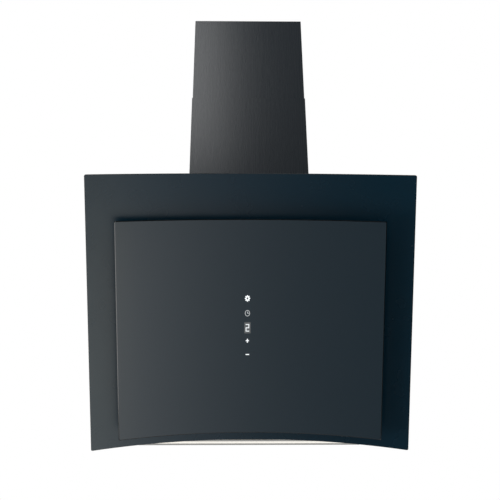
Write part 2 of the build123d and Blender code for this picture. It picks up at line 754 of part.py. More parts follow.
with BuildPart() as touch_board:
    with BuildSketch(touch_floor.offset(TOUCH_BOARD_LIFT)) as board:
        with Locations((TOUCH_X, TOUCH_FOOT + TOUCH_TALL / 2)):
            RectangleRounded(TOUCH_WIDE - 4, TOUCH_TALL - 4, 2)
    extrude(amount=TOUCH_BOARD_THICK)
    with Locations(touch_floor.offset(TOUCH_BOARD_LIFT + TOUCH_BOARD_THICK)):
        with Locations(*[(TOUCH_X, v) for v in (LAMP_CLIMB, TIMER_CLIMB, PLUS_CLIMB, MINUS_CLIMB)]):
            Cylinder(SENSOR_R, SENSOR_TALL, align=(Align.CENTER, Align.CENTER, Align.MIN))
        with Locations((TOUCH_X, WINDOW_CLIMB)):
            Box(DISPLAY_WIDE, DISPLAY_TALL, SENSOR_TALL, align=(Align.CENTER, Align.CENTER, Align.MIN))
save(touch_board, "touch_board")


def face_skin(outer, inner):
    """Thin bowed skin over the touch area, between two depths."""
    skin = bowed_strip(TOUCH_X - 30, TOUCH_X + 30, outer, inner, TOUCH_FOOT - 20)
    return extrude(skin, amount=TOUCH_TALL + 40, mode=Mode.PRIVATE)


# Lit marks on the front glass: lamp, timer, plus and minus
with BuildPart() as control_symbols:
    with BuildSketch(GLASS_FACE) as marks:
        with Locations((MARK_X, LAMP_CLIMB)):
            Ellipse(MARK_SLIM * LAMP_RING_R, LAMP_RING_R)
            Ellipse(MARK_SLIM * LAMP_EYE_R, LAMP_EYE_R, mode=Mode.SUBTRACT)
            for tooth in range(LAMP_TEETH):
                turn = radians(360 / LAMP_TEETH * tooth)
                with Locations((MARK_SLIM * LAMP_TOOTH_R * cos(turn), LAMP_TOOTH_R * sin(turn))):
                    Rectangle(LAMP_TOOTH, LAMP_TOOTH, rotation=360 / LAMP_TEETH * tooth)
        with Locations((MARK_X, TIMER_CLIMB)):
            Ellipse(MARK_SLIM * TIMER_R, TIMER_R)
            Ellipse(MARK_SLIM * TIMER_R - TIMER_STROKE, TIMER_R - TIMER_STROKE, mode=Mode.SUBTRACT)
            with Locations((0, (TIMER_HAND - TIMER_STROKE) / 2)):
                Rectangle(TIMER_STROKE, TIMER_HAND)
            with Locations(((TIMER_HAND - TIMER_STROKE) / 2, 0)):
                Rectangle(TIMER_HAND, TIMER_STROKE)
        with Locations((MARK_X, PLUS_CLIMB)):
            Rectangle(PLUS_WIDE, SIGN_STROKE)
            Rectangle(SIGN_STROKE, PLUS_TALL)
        with Locations((MARK_X, MINUS_CLIMB)):
            Rectangle(MINUS_WIDE, SIGN_STROKE)
    extrude(amount=MARK_REACH)
    add(face_skin(-PANEL_STANDOFF - MARK_THICK, -PANEL_STANDOFF), mode=Mode.INTERSECT)
save(control_symbols, "control_symbols")

# Display window and the lit figure 2 in it
with BuildPart() as display_window:
    with BuildSketch(GLASS_FACE) as pane:
        with Locations((MARK_X, WINDOW_CLIMB)):
            RectangleRounded(WINDOW_WIDE, WINDOW_TALL, WINDOW_ROUND)
    extrude(amount=MARK_REACH)
    add(face_skin(-PANEL_STANDOFF - MARK_THICK, -PANEL_STANDOFF), mode=Mode.INTERSECT)
save(display_window, "display_window")

with BuildPart() as speed_digit:
    with BuildSketch(GLASS_FACE) as figure:
        with Locations((MARK_X, WINDOW_CLIMB)):
            with Locations((0, DIGIT_TALL / 2), (0, 0), (0, -DIGIT_TALL / 2)):
                Rectangle(DIGIT_WIDE, DIGIT_STROKE)
            with Locations((DIGIT_WIDE / 2 - DIGIT_STROKE / 2, DIGIT_TALL / 4)):
                Rectangle(DIGIT_STROKE, DIGIT_TALL / 2)
            with Locations((DIGIT_STROKE / 2 - DIGIT_WIDE / 2, -DIGIT_TALL / 4)):
                Rectangle(DIGIT_STROKE, DIGIT_TALL / 2)
    extrude(amount=MARK_REACH)
    figure_skin = face_skin(-PANEL_STANDOFF - 2 * MARK_THICK, -PANEL_STANDOFF - MARK_THICK)
    add(figure_skin, mode=Mode.INTERSECT)
save(speed_digit, "speed_digit")

# ---------------------------------------------------------------- filters

latch_climb = OPENING_FOOT + LATCH_TALL / 2 + 1.4

# Tray behind the cut-out: walls up to the frame, a floor with two windows for the filters
with BuildPart() as filter_surround:
    with BuildSketch(GLASS_FACE.offset(-TRAY_DEPTH)) as outline:
        with Locations((0, OPENING_MIDDLE)):
            Rectangle(OPENING_WIDTH + 2 * TRAY_SHEET, OPENING_HEIGHT + 2 * TRAY_SHEET)
    extrude(amount=BLANK_DEPTH)
    with BuildSketch(GLASS_FACE.offset(-TRAY_DEPTH + TRAY_SHEET)) as inside:
        with Locations((0, OPENING_MIDDLE)):
            Rectangle(OPENING_WIDTH, OPENING_HEIGHT)
    extrude(amount=BLANK_DEPTH, mode=Mode.SUBTRACT)
    with BuildSketch(GLASS_FACE.offset(-TRAY_DEPTH - TRAY_SHEET)) as windows:
        with Locations((-FILTER_SHIFT, OPENING_MIDDLE), (FILTER_SHIFT, OPENING_MIDDLE)):
            Rectangle(FILTER_WIDTH - 2 * FILTER_SEAT, FILTER_HEIGHT - 2 * FILTER_SEAT)
    extrude(amount=3 * TRAY_SHEET, mode=Mode.SUBTRACT)
    cut_room_side(FRAME_REAR)
    latch_floor = TRAY_DEPTH - TRAY_SHEET - FILTER_THICK
    with BuildSketch(GLASS_FACE.offset(-latch_floor - NOSE_DROP)) as slots:
        with Locations(*[(s * FILTER_SHIFT, OPENING_FOOT) for s in (-1, 1)]):
            Rectangle(NOSE_WIDTH + 2 * NOSE_CLEAR, NOSE_SLOT_TALL)
    extrude(amount=NOSE_THICK + NOSE_CLEAR, mode=Mode.SUBTRACT)
save(filter_surround, "filter_surround")

# Filters: a folded frame round a pack of knitted mesh, with a sliding latch at the foot
for side, sign in SIDES:
    centre = (sign * FILTER_SHIFT, OPENING_MIDDLE)
    floor = GLASS_FACE.offset(-TRAY_DEPTH + TRAY_SHEET)
    with BuildPart() as filter_frame:
        with BuildSketch(floor) as outline:
            with Locations(centre):
                RectangleRounded(FILTER_WIDTH, FILTER_HEIGHT, FOLD_ROUND)
                Rectangle(
                    FILTER_WIDTH - 2 * FILTER_BORDER,
                    FILTER_HEIGHT - 2 * FILTER_BORDER,
                    mode=Mode.SUBTRACT,
                )
        extrude(amount=FILTER_THICK)
    save(filter_frame, f"filter_frame_{side}")

    with BuildPart() as filter_mesh:
        with BuildSketch(floor.offset((FILTER_THICK - MESH_THICK) / 2)) as pack:
            with Locations(centre):
                Rectangle(FILTER_WIDTH - 2 * FILTER_BORDER, FILTER_HEIGHT - 2 * FILTER_BORDER)
        extrude(amount=MESH_THICK)
    save(filter_mesh, f"filter_mesh_{side}")

    with BuildPart() as filter_latch:
        with BuildSketch(floor.offset(FILTER_THICK)) as slider:
            with Locations((sign * FILTER_SHIFT, latch_climb)):
                RectangleRounded(LATCH_WIDTH, LATCH_TALL, FOLD_ROUND)
        extrude(amount=LATCH_THICK)
        with BuildSketch(floor.offset(FILTER_THICK)) as nose:
            with Locations((sign * FILTER_SHIFT, latch_climb - LATCH_TALL / 2)):
                Rectangle(NOSE_WIDTH, 2 * NOSE_REACH)
        extrude(amount=NOSE_THICK)
        with BuildSketch(floor.offset(FILTER_THICK + LATCH_THICK)) as ribs:
            with Locations((sign * FILTER_SHIFT, latch_climb)):
                with GridLocations(1, LATCH_RIB_PITCH, 1, 3):
                    Rectangle(LATCH_WIDTH - 2 * LATCH_RIB_INSET, LATCH_RIB)
        extrude(amount=LATCH_RIB)
    save(filter_latch, f"filter_latch_{side}")

# ---------------------------------------------------------------- light bar

# Aluminium profile with a lip each side of the lit face
with BuildPart() as led_channel:
    with BuildSketch(Plane.YZ.offset(-BAR_LENGTH / 2)) as section:
        with BuildLine():
            Polyline(
                (BAR_FLANGE_FRONT, CASE_BOTTOM - SHEET),
                (BAR_INSIDE_FRONT, CASE_BOTTOM - SHEET),
                (BAR_INSIDE_FRONT, CASE_BOTTOM + BAR_DEEP - BAR_WALL),
                (BAR_INSIDE_REAR, CASE_BOTTOM + BAR_DEEP - BAR_WALL),
                (BAR_INSIDE_REAR, CASE_BOTTOM - SHEET),
                (BAR_FLANGE_REAR, CASE_BOTTOM - SHEET),
                (BAR_FLANGE_REAR, CASE_BOTTOM),
                (BAR_INSIDE_REAR + BAR_WALL, CASE_BOTTOM),
                (BAR_INSIDE_REAR + BAR_WALL, CASE_BOTTOM + BAR_DEEP),
                (BAR_INSIDE_FRONT - BAR_WALL, CASE_BOTTOM + BAR_DEEP),
                (BAR_INSIDE_FRONT - BAR_WALL, CASE_BOTTOM),
                (BAR_FLANGE_FRONT, CASE_BOTTOM),
                close=True,
            )
        make_face()
    extrude(amount=BAR_LENGTH)
save(led_channel, "led_channel")

bar_middle = (BAR_INSIDE_FRONT + BAR_INSIDE_REAR) / 2
bar_inside = BAR_INSIDE_REAR - BAR_INSIDE_FRONT
cover_edge = CASE_BOTTOM - SHEET + COVER_EDGE

# Opal cover, a slight crown on its lit face
with BuildPart() as led_diffuser:
    with BuildSketch(Plane.YZ.offset(-BAR_LENGTH / 2)) as section:
        with BuildLine():
            Polyline(
                (BAR_INSIDE_FRONT, cover_edge),
                (BAR_INSIDE_FRONT, CASE_BOTTOM + COVER_LEG),
                (BAR_INSIDE_FRONT + COVER_WALL, CASE_BOTTOM + COVER_LEG),
                (BAR_INSIDE_FRONT + COVER_WALL, CASE_BOTTOM + COVER_WALL),
                (BAR_INSIDE_REAR - COVER_WALL, CASE_BOTTOM + COVER_WALL),
                (BAR_INSIDE_REAR - COVER_WALL, CASE_BOTTOM + COVER_LEG),
                (BAR_INSIDE_REAR, CASE_BOTTOM + COVER_LEG),
                (BAR_INSIDE_REAR, cover_edge),
            )
            ThreePointArc(
                (BAR_INSIDE_REAR, cover_edge),
                (bar_middle, CASE_BOTTOM - SHEET - COVER_CROWN),
                (BAR_INSIDE_FRONT, cover_edge),
            )
        make_face()
    extrude(amount=BAR_LENGTH)
save(led_diffuser, "led_diffuser")

# Circuit strip with its row of lamps
with BuildPart() as led_strip:
    strip_floor = CASE_BOTTOM + BAR_DEEP - BAR_WALL
    with Locations((0, bar_middle, strip_floor)):
        Box(
            BAR_LENGTH - 2 * LED_BOARD_GAP,
            LED_BOARD_WIDE,
            LED_BOARD_THICK,
            align=(Align.CENTER, Align.CENTER, Align.MAX),
        )
    with Locations((0, bar_middle, strip_floor - LED_BOARD_THICK)):
        with GridLocations(LED_PITCH, 1, int(BAR_LENGTH / LED_PITCH) - 1, 1):
            Box(LED_LONG, LED_WIDE, LED_TALL, align=(Align.CENTER, Align.CENTER, Align.MAX))
save(led_strip, "led_strip")

with BuildPart() as led_end_caps:
    for sign in (-1, 1):
        cap_x = sign * (BAR_LENGTH + CAP_THICK) / 2
        with Locations((cap_x, bar_middle, CASE_BOTTOM + BAR_DEEP / 2)):
            Box(CAP_THICK, bar_inside + 2 * BAR_WALL, BAR_DEEP)
        lip_x = sign * (BAR_LENGTH + CAP_LIP) / 2
        lip_deep = BAR_FLANGE_REAR - BAR_FLANGE_FRONT
        with Locations((lip_x, bar_middle, CASE_BOTTOM)):
            Box(CAP_LIP, lip_deep, SHEET, align=(Align.CENTER, Align.CENTER, Align.MAX))
save(led_end_caps, "led_end_caps")

# ---------------------------------------------------------------- fan

FAN_SIDE = Plane(origin=(0, FAN_Y, FAN_Z), x_dir=(0, 1, 0), z_dir=(1, 0, 0))


def scroll_outline(plane, wall, top):
    """The scroll seen along the shaft: arcs of growing radius from tongue to outlet."""
    with BuildSketch(plane) as outline:
        with BuildLine():
            rise = SCROLL_QUARTER - SCROLL_START
            grown = SCROLL_END - SCROLL_QUARTER
            tongue = (SCROLL_LIP, sqrt(SCROLL_START**2 - (SCROLL_LIP - rise) ** 2))
            first = (rise + SCROLL_START * cos(SCROLL_TURN), SCROLL_START * sin(SCROLL_TURN))
            second = (SCROLL_QUARTER * cos(SCROLL_TURN), -SCROLL_QUARTER * sin(SCROLL_TURN))
            third = (-SCROLL_END * sin(SCROLL_TURN), grown - SCROLL_END * cos(SCROLL_TURN))
            ThreePointArc(tongue, first, (SCROLL_QUARTER, 0))
            ThreePointArc((SCROLL_QUARTER, 0), second, (0, -SCROLL_QUARTER))
            ThreePointArc((0, -SCROLL_QUARTER), third, (-SCROLL_END, grown))
            Polyline((-SCROLL_END, grown), (-SCROLL_END, top), (SCROLL_LIP, top), tongue)
        make_face()
        if wall:
            offset(amount=wall, kind=Kind.INTERSECTION)
    return outline.sketch


for side, sign in SIDES:
    outside = SCROLL_HALF if sign > 0 else -SCROLL_HALF
    with BuildPart() as scroll:
        extrude(scroll_outline(FAN_SIDE, SCROLL_WALL, SCROLL_TOP - SCROLL_WALL), amount=outside)
        hollow = scroll_outline(FAN_SIDE, 0, SCROLL_TOP + SCROLL_OVERRUN)
        extrude(hollow, amount=outside - sign * SCROLL_WALL, mode=Mode.SUBTRACT)
        with BuildSketch(FAN_SIDE) as inlet:
            Circle(INLET_R + INLET_SEAT)
        extrude(amount=2 * outside, mode=Mode.SUBTRACT)
    save(scroll, f"scroll_{side}")

# Bell-mouthed rings in the two inlets
with BuildPart() as inlet_rings:
    for sign in (-1, 1):
        ring_side = Plane(origin=(0, FAN_Y, FAN_Z), x_dir=(sign, 0, 0), z_dir=(0, -sign, 0))
        with BuildSketch(ring_side) as section:
            with BuildLine():
                Polyline(
                    (RING_START, INLET_R),
                    (RING_START, INLET_R + RING_LIP),
                    (SCROLL_HALF, INLET_R + RING_FLARE),
                    (SCROLL_HALF, INLET_R + RING_FLANGE),
                    (SCROLL_HALF + RING_THICK, INLET_R + RING_FLANGE),
                    (SCROLL_HALF + RING_THICK, INLET_R + RING_BELL),
                )
                ThreePointArc(
                    (SCROLL_HALF + RING_THICK, INLET_R + RING_BELL),
                    (SCROLL_HALF + RING_THICK / 4, INLET_R + RING_THROAT),
                    (RING_START, INLET_R),
                )
            make_face()
        revolve(axis=Axis((0, FAN_Y, FAN_Z), (1, 0, 0)))
save(inlet_rings, "inlet_rings")

# Impeller: a hub disc, two rings and the blades between them
with BuildPart() as impeller:
    with BuildSketch(FAN_SIDE.offset(-DISC_HALF)) as disc:
        Circle(IMPELLER_R)
        Circle(SHAFT_R, mode=Mode.SUBTRACT)
    extrude(amount=2 * DISC_HALF)
    with BuildSketch(FAN_SIDE.offset(-HUB_HALF)) as hub:
        Circle(HUB_R)
        Circle(SHAFT_R, mode=Mode.SUBTRACT)
    extrude(amount=2 * HUB_HALF)
    for start in (-IMPELLER_HALF, IMPELLER_HALF - END_RING):
        with BuildSketch(FAN_SIDE.offset(start)) as ring:
            Circle(IMPELLER_R)
            Circle(BLADE_INNER_R, mode=Mode.SUBTRACT)
        extrude(amount=END_RING)
    with BuildSketch(FAN_SIDE.offset(-IMPELLER_HALF)) as blades:
        with PolarLocations((IMPELLER_R + BLADE_INNER_R) / 2, BLADES):
            Rectangle(
                IMPELLER_R - BLADE_INNER_R - 2 * BLADE_GAP,
                BLADE_THICK,
                rotation=BLADE_TURN,
            )
    extrude(amount=2 * IMPELLER_HALF)
save(impeller, "impeller")

with BuildPart() as motor_shaft:
    with BuildSketch(FAN_SIDE.offset(SHAFT_START)) as bar:
        Circle(SHAFT_R)
    extrude(amount=SHAFT_END - SHAFT_START)
save(motor_shaft, "motor_shaft")

# Motor in the mouth of the impeller, with its two bearings
with BuildPart() as motor:
    with BuildSketch(FAN_SIDE.offset(MOTOR_START)) as can:
        Circle(MOTOR_R)
    extrude(amount=MOTOR_END - MOTOR_START)
    fillet(edges().filter_by(GeomType.CIRCLE), MOTOR_ROUND)
    with BuildSketch(FAN_SIDE.offset(MOTOR_START)) as bore:
        Circle(BEARING_R)
    extrude(amount=MOTOR_END - MOTOR_START, mode=Mode.SUBTRACT)
save(motor, "motor")

with BuildPart() as motor_bearings:
    for start in (MOTOR_START + BEARING_FRONT, MOTOR_END - BEARING_REAR - BEARING_LONG):
        with BuildSketch(FAN_SIDE.offset(start)) as ring:
            Circle(BEARING_R)
            Circle(SHAFT_R + SHAFT_CLEAR, mode=Mode.SUBTRACT)
        extrude(amount=BEARING_LONG)
save(motor_bearings, "motor_bearings")

# Spider that hangs the motor in the right-hand inlet
with BuildPart() as motor_bracket:
    with BuildSketch(FAN_SIDE.offset(MOTOR_END)) as spider:
        Circle(MOTOR_R - SPIDER_RIM)
        Circle(BEARING_R, mode=Mode.SUBTRACT)
        with PolarLocations(SPIDER_ARM_LONG, SPIDER_ARMS, start_angle=SPIDER_START):
            Rectangle(SPIDER_ARM_LONG, SPIDER_WIDE)
    extrude(amount=SPIDER_THICK)
    with BuildSketch(FAN_SIDE.offset(SCROLL_HALF + RING_THICK)) as feet:
        with PolarLocations(SPIDER_FOOT_R, SPIDER_ARMS, start_angle=SPIDER_START):
            Rectangle(SPIDER_FOOT, SPIDER_WIDE)
    extrude(amount=MOTOR_END - SCROLL_HALF - RING_THICK)
save(motor_bracket, "motor_bracket")

# Duct piece from the scroll's square mouth to the round outlet
with BuildPart() as outlet_adapter:
    low = FAN_Z + SCROLL_TOP
    mouth_middle = FAN_Y + (SCROLL_LIP - SCROLL_END) / 2
    mouth_wide = 2 * (SCROLL_HALF - SCROLL_WALL)
    mouth_deep = SCROLL_LIP + SCROLL_END
    for grow, keep in ((SCROLL_WALL, Mode.ADD), (0, Mode.SUBTRACT)):
        with BuildSketch(Plane.XY.offset(low)) as square_end:
            with Locations((0, mouth_middle)):
                RectangleRounded(mouth_wide + 2 * grow, mouth_deep + 2 * grow, ADAPTER_ROUND)
        with BuildSketch(Plane.XY.offset(CASE_TOP - SHEET)) as round_end:
            with Locations((0, DUCT_Y)):
                Circle(DUCT_R - DUCT_WALL - SCROLL_WALL + grow)
        loft(mode=keep)
save(outlet_adapter, "outlet_adapter")

# ---------------------------------------------------------------- air outlet

with BuildPart() as outlet_collar:
    with BuildSketch(Plane.XY.offset(CASE_TOP)) as flange:
        with Locations((0, DUCT_Y)):
            Circle(COLLAR_FLANGE_R)
            Circle(DUCT_R - DUCT_WALL, mode=Mode.SUBTRACT)
            with PolarLocations(COLLAR_HOLES_R, COLLAR_HOLES, start_angle=45):
                Circle(COLLAR_HOLE_R, mode=Mode.SUBTRACT)
    extrude(amount=COLLAR_FLANGE)
    with BuildSketch(Plane.XY.offset(CASE_TOP)) as spigot:
        with Locations((0, DUCT_Y)):
            Circle(DUCT_R)
            Circle(DUCT_R - DUCT_WALL, mode=Mode.SUBTRACT)
    extrude(amount=DUCT_TOP - CASE_TOP)
    with BuildSketch(Plane.XY.offset(FLAP_Z - FLAP_THICK / 2 - STOP_THICK)) as stop:
        with Locations((0, DUCT_Y)):
            Circle(DUCT_R - DUCT_WALL)
            Circle(DUCT_R - DUCT_WALL - STOP_WIDE, mode=Mode.SUBTRACT)
            Rectangle(2 * DUCT_R, STOP_GAP, mode=Mode.SUBTRACT)
    extrude(amount=STOP_THICK)
    with Locations((0, DUCT_Y, FLAP_Z)):
        Cylinder(DAMPER_PIN_R, 2 * DUCT_R, rotation=(0, 90, 0), mode=Mode.SUBTRACT)
save(outlet_collar, "outlet_collar")

with BuildPart() as damper_pin:
    with Locations((0, DUCT_Y, FLAP_Z)):
        Cylinder(DAMPER_PIN_R, 2 * (DUCT_R - DAMPER_PIN_SHORT), rotation=(0, 90, 0))
save(damper_pin, "damper_pin")

for name, sign in (("front", -1), ("rear", 1)):
    knuckles = (sign * KNUCKLE_FAR, -sign * KNUCKLE_NEAR)
    with BuildPart() as flap:
        with BuildSketch(Plane.XY.offset(FLAP_Z - FLAP_THICK / 2)) as leaf:
            with Locations((0, DUCT_Y)):
                Circle(FLAP_R)
            with Locations((0, DUCT_Y - sign * (DUCT_R - FLAP_START))):
                Rectangle(2 * DUCT_R, 2 * DUCT_R, mode=Mode.SUBTRACT)
            with Locations(*[(x, DUCT_Y + sign * FLAP_START / 2) for x in knuckles]):
                Rectangle(KNUCKLE_LONG, FLAP_START + 1)
        extrude(amount=FLAP_THICK)
        with Locations(*[(x, DUCT_Y, FLAP_Z) for x in knuckles]):
            Cylinder(KNUCKLE_R, KNUCKLE_LONG, rotation=(0, 90, 0))
        with Locations((0, DUCT_Y, FLAP_Z)):
            Cylinder(DAMPER_PIN_R + DAMPER_CLEAR, 2 * DUCT_R, rotation=(0, 90, 0), mode=Mode.SUBTRACT)
    save(flap, f"damper_flap_{name}")

# ---------------------------------------------------------------- control box

box_middle_x = (BOX_LEFT + BOX_RIGHT) / 2
box_middle_z = (BOX_FOOT + BOX_TOP) / 2
box_middle = Vector(box_middle_x, BOX_REAR, box_middle_z)
BOX_REAR_FACE = Plane(origin=box_middle, x_dir=(1, 0, 0), z_dir=(0, -1, 0))
box_deep = BOX_REAR - BOX_FRONT

# Tray on the rear sheet, its lid, and the board inside
with BuildPart() as control_box:
    with BuildSketch(BOX_REAR_FACE) as outline:
        RectangleRounded(BOX_RIGHT - BOX_LEFT, BOX_TOP - BOX_FOOT, BOX_ROUND)
    extrude(amount=box_deep - BOX_WALL)
    with BuildSketch(BOX_REAR_FACE.offset(BOX_WALL)) as hollow:
        inside_width = BOX_RIGHT - BOX_LEFT - 2 * BOX_WALL
        inside_height = BOX_TOP - BOX_FOOT - 2 * BOX_WALL
        RectangleRounded(inside_width, inside_height, BOX_ROUND - BOX_WALL)
    extrude(amount=box_deep, mode=Mode.SUBTRACT)
save(control_box, "control_box")

with BuildPart() as control_lid:
    with BuildSketch(BOX_REAR_FACE.offset(box_deep - BOX_WALL)) as outline:
        RectangleRounded(BOX_RIGHT - BOX_LEFT, BOX_TOP - BOX_FOOT, BOX_ROUND)
    extrude(amount=BOX_WALL)
save(control_lid, "control_lid")

with BuildPart() as circuit_board:
    with BuildSketch(BOX_REAR_FACE.offset(BOARD_LIFT)) as board:
        Rectangle(BOARD_WIDE, BOARD_TALL)
    extrude(amount=BOARD_THICK)
    with BuildSketch(BOX_REAR_FACE.offset(BOARD_LIFT + BOARD_THICK)) as tall_parts:
        for across, up, wide, tall in BOARD_PARTS:
            with Locations((across, up)):
                Rectangle(wide, tall)
    extrude(amount=BOARD_PARTS_TALL)
save(circuit_board, "circuit_board")

with BuildPart() as capacitor:
    can_x = box_middle_x + CAPACITOR_ACROSS
    with Locations((can_x, BOX_REAR - CAPACITOR_LIFT, box_middle_z + CAPACITOR_UP)):
        Cylinder(CAPACITOR_R, CAPACITOR_LONG, rotation=(0, 90, 0))
save(capacitor, "capacitor")

# Gland in the top sheet, where the supply lead comes in beside the duct: a nut, a stem and
# a seal that narrows its upper end
with BuildPart() as cable_gland:
    with Locations((GLAND_X, GLAND_Y, CASE_TOP)):
        Cylinder(GLAND_NUT_R, GLAND_NUT_TALL, align=(Align.CENTER, Align.CENTER, Align.MIN))
        Cylinder(GLAND_R, GLAND_ABOVE, align=(Align.CENTER, Align.CENTER, Align.MIN))
        Cylinder(GLAND_R, GLAND_BELOW, align=(Align.CENTER, Align.CENTER, Align.MAX))
        Cylinder(GLAND_BORE_R, 3 * GLAND_ABOVE, mode=Mode.SUBTRACT)
    with Locations((GLAND_X, GLAND_Y, CASE_TOP + GLAND_ABOVE - GLAND_BORE_LONG)):
        Cylinder(
            GLAND_WIDE_R,
            GLAND_ABOVE,
            align=(Align.CENTER, Align.CENTER, Align.MAX),
            mode=Mode.SUBTRACT,
        )
save(cable_gland, "cable_gland")

# ---------------------------------------------------------------- chimney


def chimney_section(height, half_width, front, back):
    """U-shaped section of sheet, open to the wall between two narrow return flanges."""
    with BuildSketch(Plane.XY.offset(height)) as section:
        with Locations((0, back)):
            Rectangle(2 * half_width, back - front, align=(Align.CENTER, Align.MAX))
        with Locations((0, back - CHIMNEY_SHEET)):
            Rectangle(
                2 * (half_width - CHIMNEY_SHEET),
                back - front - 2 * CHIMNEY_SHEET,
                align=(Align.CENTER, Align.MAX),
                mode=Mode.SUBTRACT,
            )
        with Locations((0, back)):
            Rectangle(2 * (half_width - RETURN_FLANGE), 4 * CHIMNEY_SHEET, mode=Mode.SUBTRACT)
    return section.sketch


# Lower part, screwed down through feet that turn inward over the top sheet
with BuildPart() as lower_chimney:
    lower_half = CHIMNEY_WIDTH / 2
    extrude(chimney_section(CASE_TOP, lower_half, -CHIMNEY_DEPTH, 0), amount=CHIMNEY_SEAM - CASE_TOP)
    fillet(edges().filter_by(Axis.Z).group_by(Axis.Y)[0], CHIMNEY_FOLD)
    for sign in (-1, 1):
        with Locations((sign * (lower_half - CHIMNEY_SHEET), -CHIMNEY_DEPTH / 2, CASE_TOP)):
            Box(
                2 * CHIMNEY_FOOT,
                CHIMNEY_DEPTH / 2,
                CHIMNEY_SHEET,
                align=(Align.CENTER, Align.CENTER, Align.MIN),
            )
        with Locations((sign * CHIMNEY_WIDTH / 2, 0, CASE_TOP)):
            Box(
                CHIMNEY_WIDTH,
                2 * CHIMNEY_DEPTH,
                4 * CHIMNEY_SHEET,
                align=(Align.MIN if sign > 0 else Align.MAX, Align.CENTER, Align.CENTER),
                mode=Mode.SUBTRACT,
            )
save(lower_chimney, "lower_chimney")

# Upper part, which slides inside the lower one
with BuildPart() as upper_chimney:
    slip = CHIMNEY_SHEET + CHIMNEY_SLIP
    section = chimney_section(CHIMNEY_TOP - UPPER_LENGTH, UPPER_HALF, slip - CHIMNEY_DEPTH, -slip)
    extrude(section, amount=UPPER_LENGTH)
    fillet(edges().filter_by(Axis.Z).group_by(Axis.Y)[0], CHIMNEY_FOLD)
    for sign in (-1, 1):
        with Locations((sign * UPPER_HALF, CHIMNEY_SCREW_Y, STRAP_Z)):
            Cylinder(CHIMNEY_HOLE_R, DRILL, rotation=(0, 90, 0), mode=Mode.SUBTRACT)
save(upper_chimney, "upper_chimney")

# Wall strap at the ceiling end: it passes behind the flanges and turns out to the sides
with BuildPart() as chimney_bracket:
    with BuildSketch(Plane.XY.offset(STRAP_Z - STRAP_TALL / 2)) as plan:
        Rectangle(2 * STRAP_HALF, STRAP_SHEET, align=(Align.CENTER, Align.MAX))
        for sign in (-1, 1):
            inner, outer = sign * STRAP_HALF, sign * UPPER_INSIDE
            low_align = Align.MAX if sign > 0 else Align.MIN
            with Locations((inner, 0)):
                Rectangle(STRAP_SHEET, STRAP_STEP, align=(low_align, Align.MAX))
            with Locations(((inner + outer) / 2 - sign * STRAP_SHEET / 2, -STRAP_STEP)):
                Rectangle(abs(outer - inner) + STRAP_SHEET, STRAP_SHEET)
            with Locations((outer, -STRAP_STEP + STRAP_SHEET / 2)):
                Rectangle(STRAP_SHEET, STRAP_STEP, align=(low_align, Align.MAX))
    extrude(amount=STRAP_TALL)
    for x in (-STRAP_HOLES_X / 2, STRAP_HOLES_X / 2):
        with Locations((x, 0, STRAP_Z)):
            Cylinder(STRAP_HOLE_R, DRILL, rotation=(90, 0, 0), mode=Mode.SUBTRACT)
    for sign in (-1, 1):
        with Locations((sign * UPPER_HALF, CHIMNEY_SCREW_Y, STRAP_Z)):
            Cylinder(STRAP_SCREW_HOLE_R, DRILL, rotation=(0, 90, 0), mode=Mode.SUBTRACT)
save(chimney_bracket, "chimney_bracket")

with BuildPart() as chimney_screws:
    for sign in (-1, 1):
        seat = Plane(origin=(sign * UPPER_HALF, CHIMNEY_SCREW_Y, STRAP_Z), z_dir=(sign, 0, 0))
        with Locations(seat):
            Cylinder(CHIMNEY_HEAD_R, CHIMNEY_HEAD_TALL, align=(Align.CENTER, Align.CENTER, Align.MIN))
            Cylinder(CHIMNEY_SCREW_R, CHIMNEY_SCREW_LONG, align=(Align.CENTER, Align.CENTER, Align.MAX))
            with Locations((0, 0, 2)):
                Box(4.6, 0.9, 1.8, mode=Mode.SUBTRACT)
                Box(0.9, 4.6, 1.8, mode=Mode.SUBTRACT)
save(chimney_screws, "chimney_screws")
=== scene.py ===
# %% [markdown]
# # A curved glass range hood, dressed for its picture
# The hood hangs on a kitchen wall. A large sheet of black glass, bowed like a shallow trough, leans out
# from the wall, a smaller bowed panel stands off in front of it, and a telescopic steel chimney rises
# behind them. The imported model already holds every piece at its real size, so this lesson gives each
# piece its finish, swaps a few plain solids for finer surfaces, and sets up camera and light.

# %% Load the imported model
import math

import bpy
import numpy as np
from mathutils import Matrix, Vector


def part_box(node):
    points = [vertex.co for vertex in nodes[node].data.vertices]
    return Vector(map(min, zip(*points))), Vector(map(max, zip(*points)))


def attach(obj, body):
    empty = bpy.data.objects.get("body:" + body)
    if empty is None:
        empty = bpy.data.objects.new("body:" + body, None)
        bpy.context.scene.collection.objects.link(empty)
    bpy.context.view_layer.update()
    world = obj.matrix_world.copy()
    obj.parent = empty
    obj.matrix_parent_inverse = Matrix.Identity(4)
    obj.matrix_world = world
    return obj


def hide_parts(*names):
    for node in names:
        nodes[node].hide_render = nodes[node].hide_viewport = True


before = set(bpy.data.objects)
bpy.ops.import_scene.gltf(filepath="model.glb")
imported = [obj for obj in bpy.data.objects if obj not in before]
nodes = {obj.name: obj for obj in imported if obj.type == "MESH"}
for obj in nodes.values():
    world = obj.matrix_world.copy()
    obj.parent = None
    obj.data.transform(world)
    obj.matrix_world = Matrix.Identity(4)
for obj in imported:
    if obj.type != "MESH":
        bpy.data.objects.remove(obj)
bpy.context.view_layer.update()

MM = 0.001

# %% [markdown]
# ## The camera
# The picture looks up at the hood from below and in front, a touch from the left. A camera is a place, a
# direction and a lens. The lens follows from the focal length in pixels: the sensor's width divided by
# the picture's width gives the size of a pixel on the sensor.

# %% Camera
SENSOR_MM = 36.0
PICTURE_PIXELS = 500
FOCAL_PIXELS = 809.3
CAMERA_PLACE = (-0.0219, -1.6729, -0.6274)
CAMERA_PITCH = 0.4952
CAMERA_YAW = -0.0158
CAMERA_ROLL = -0.0064

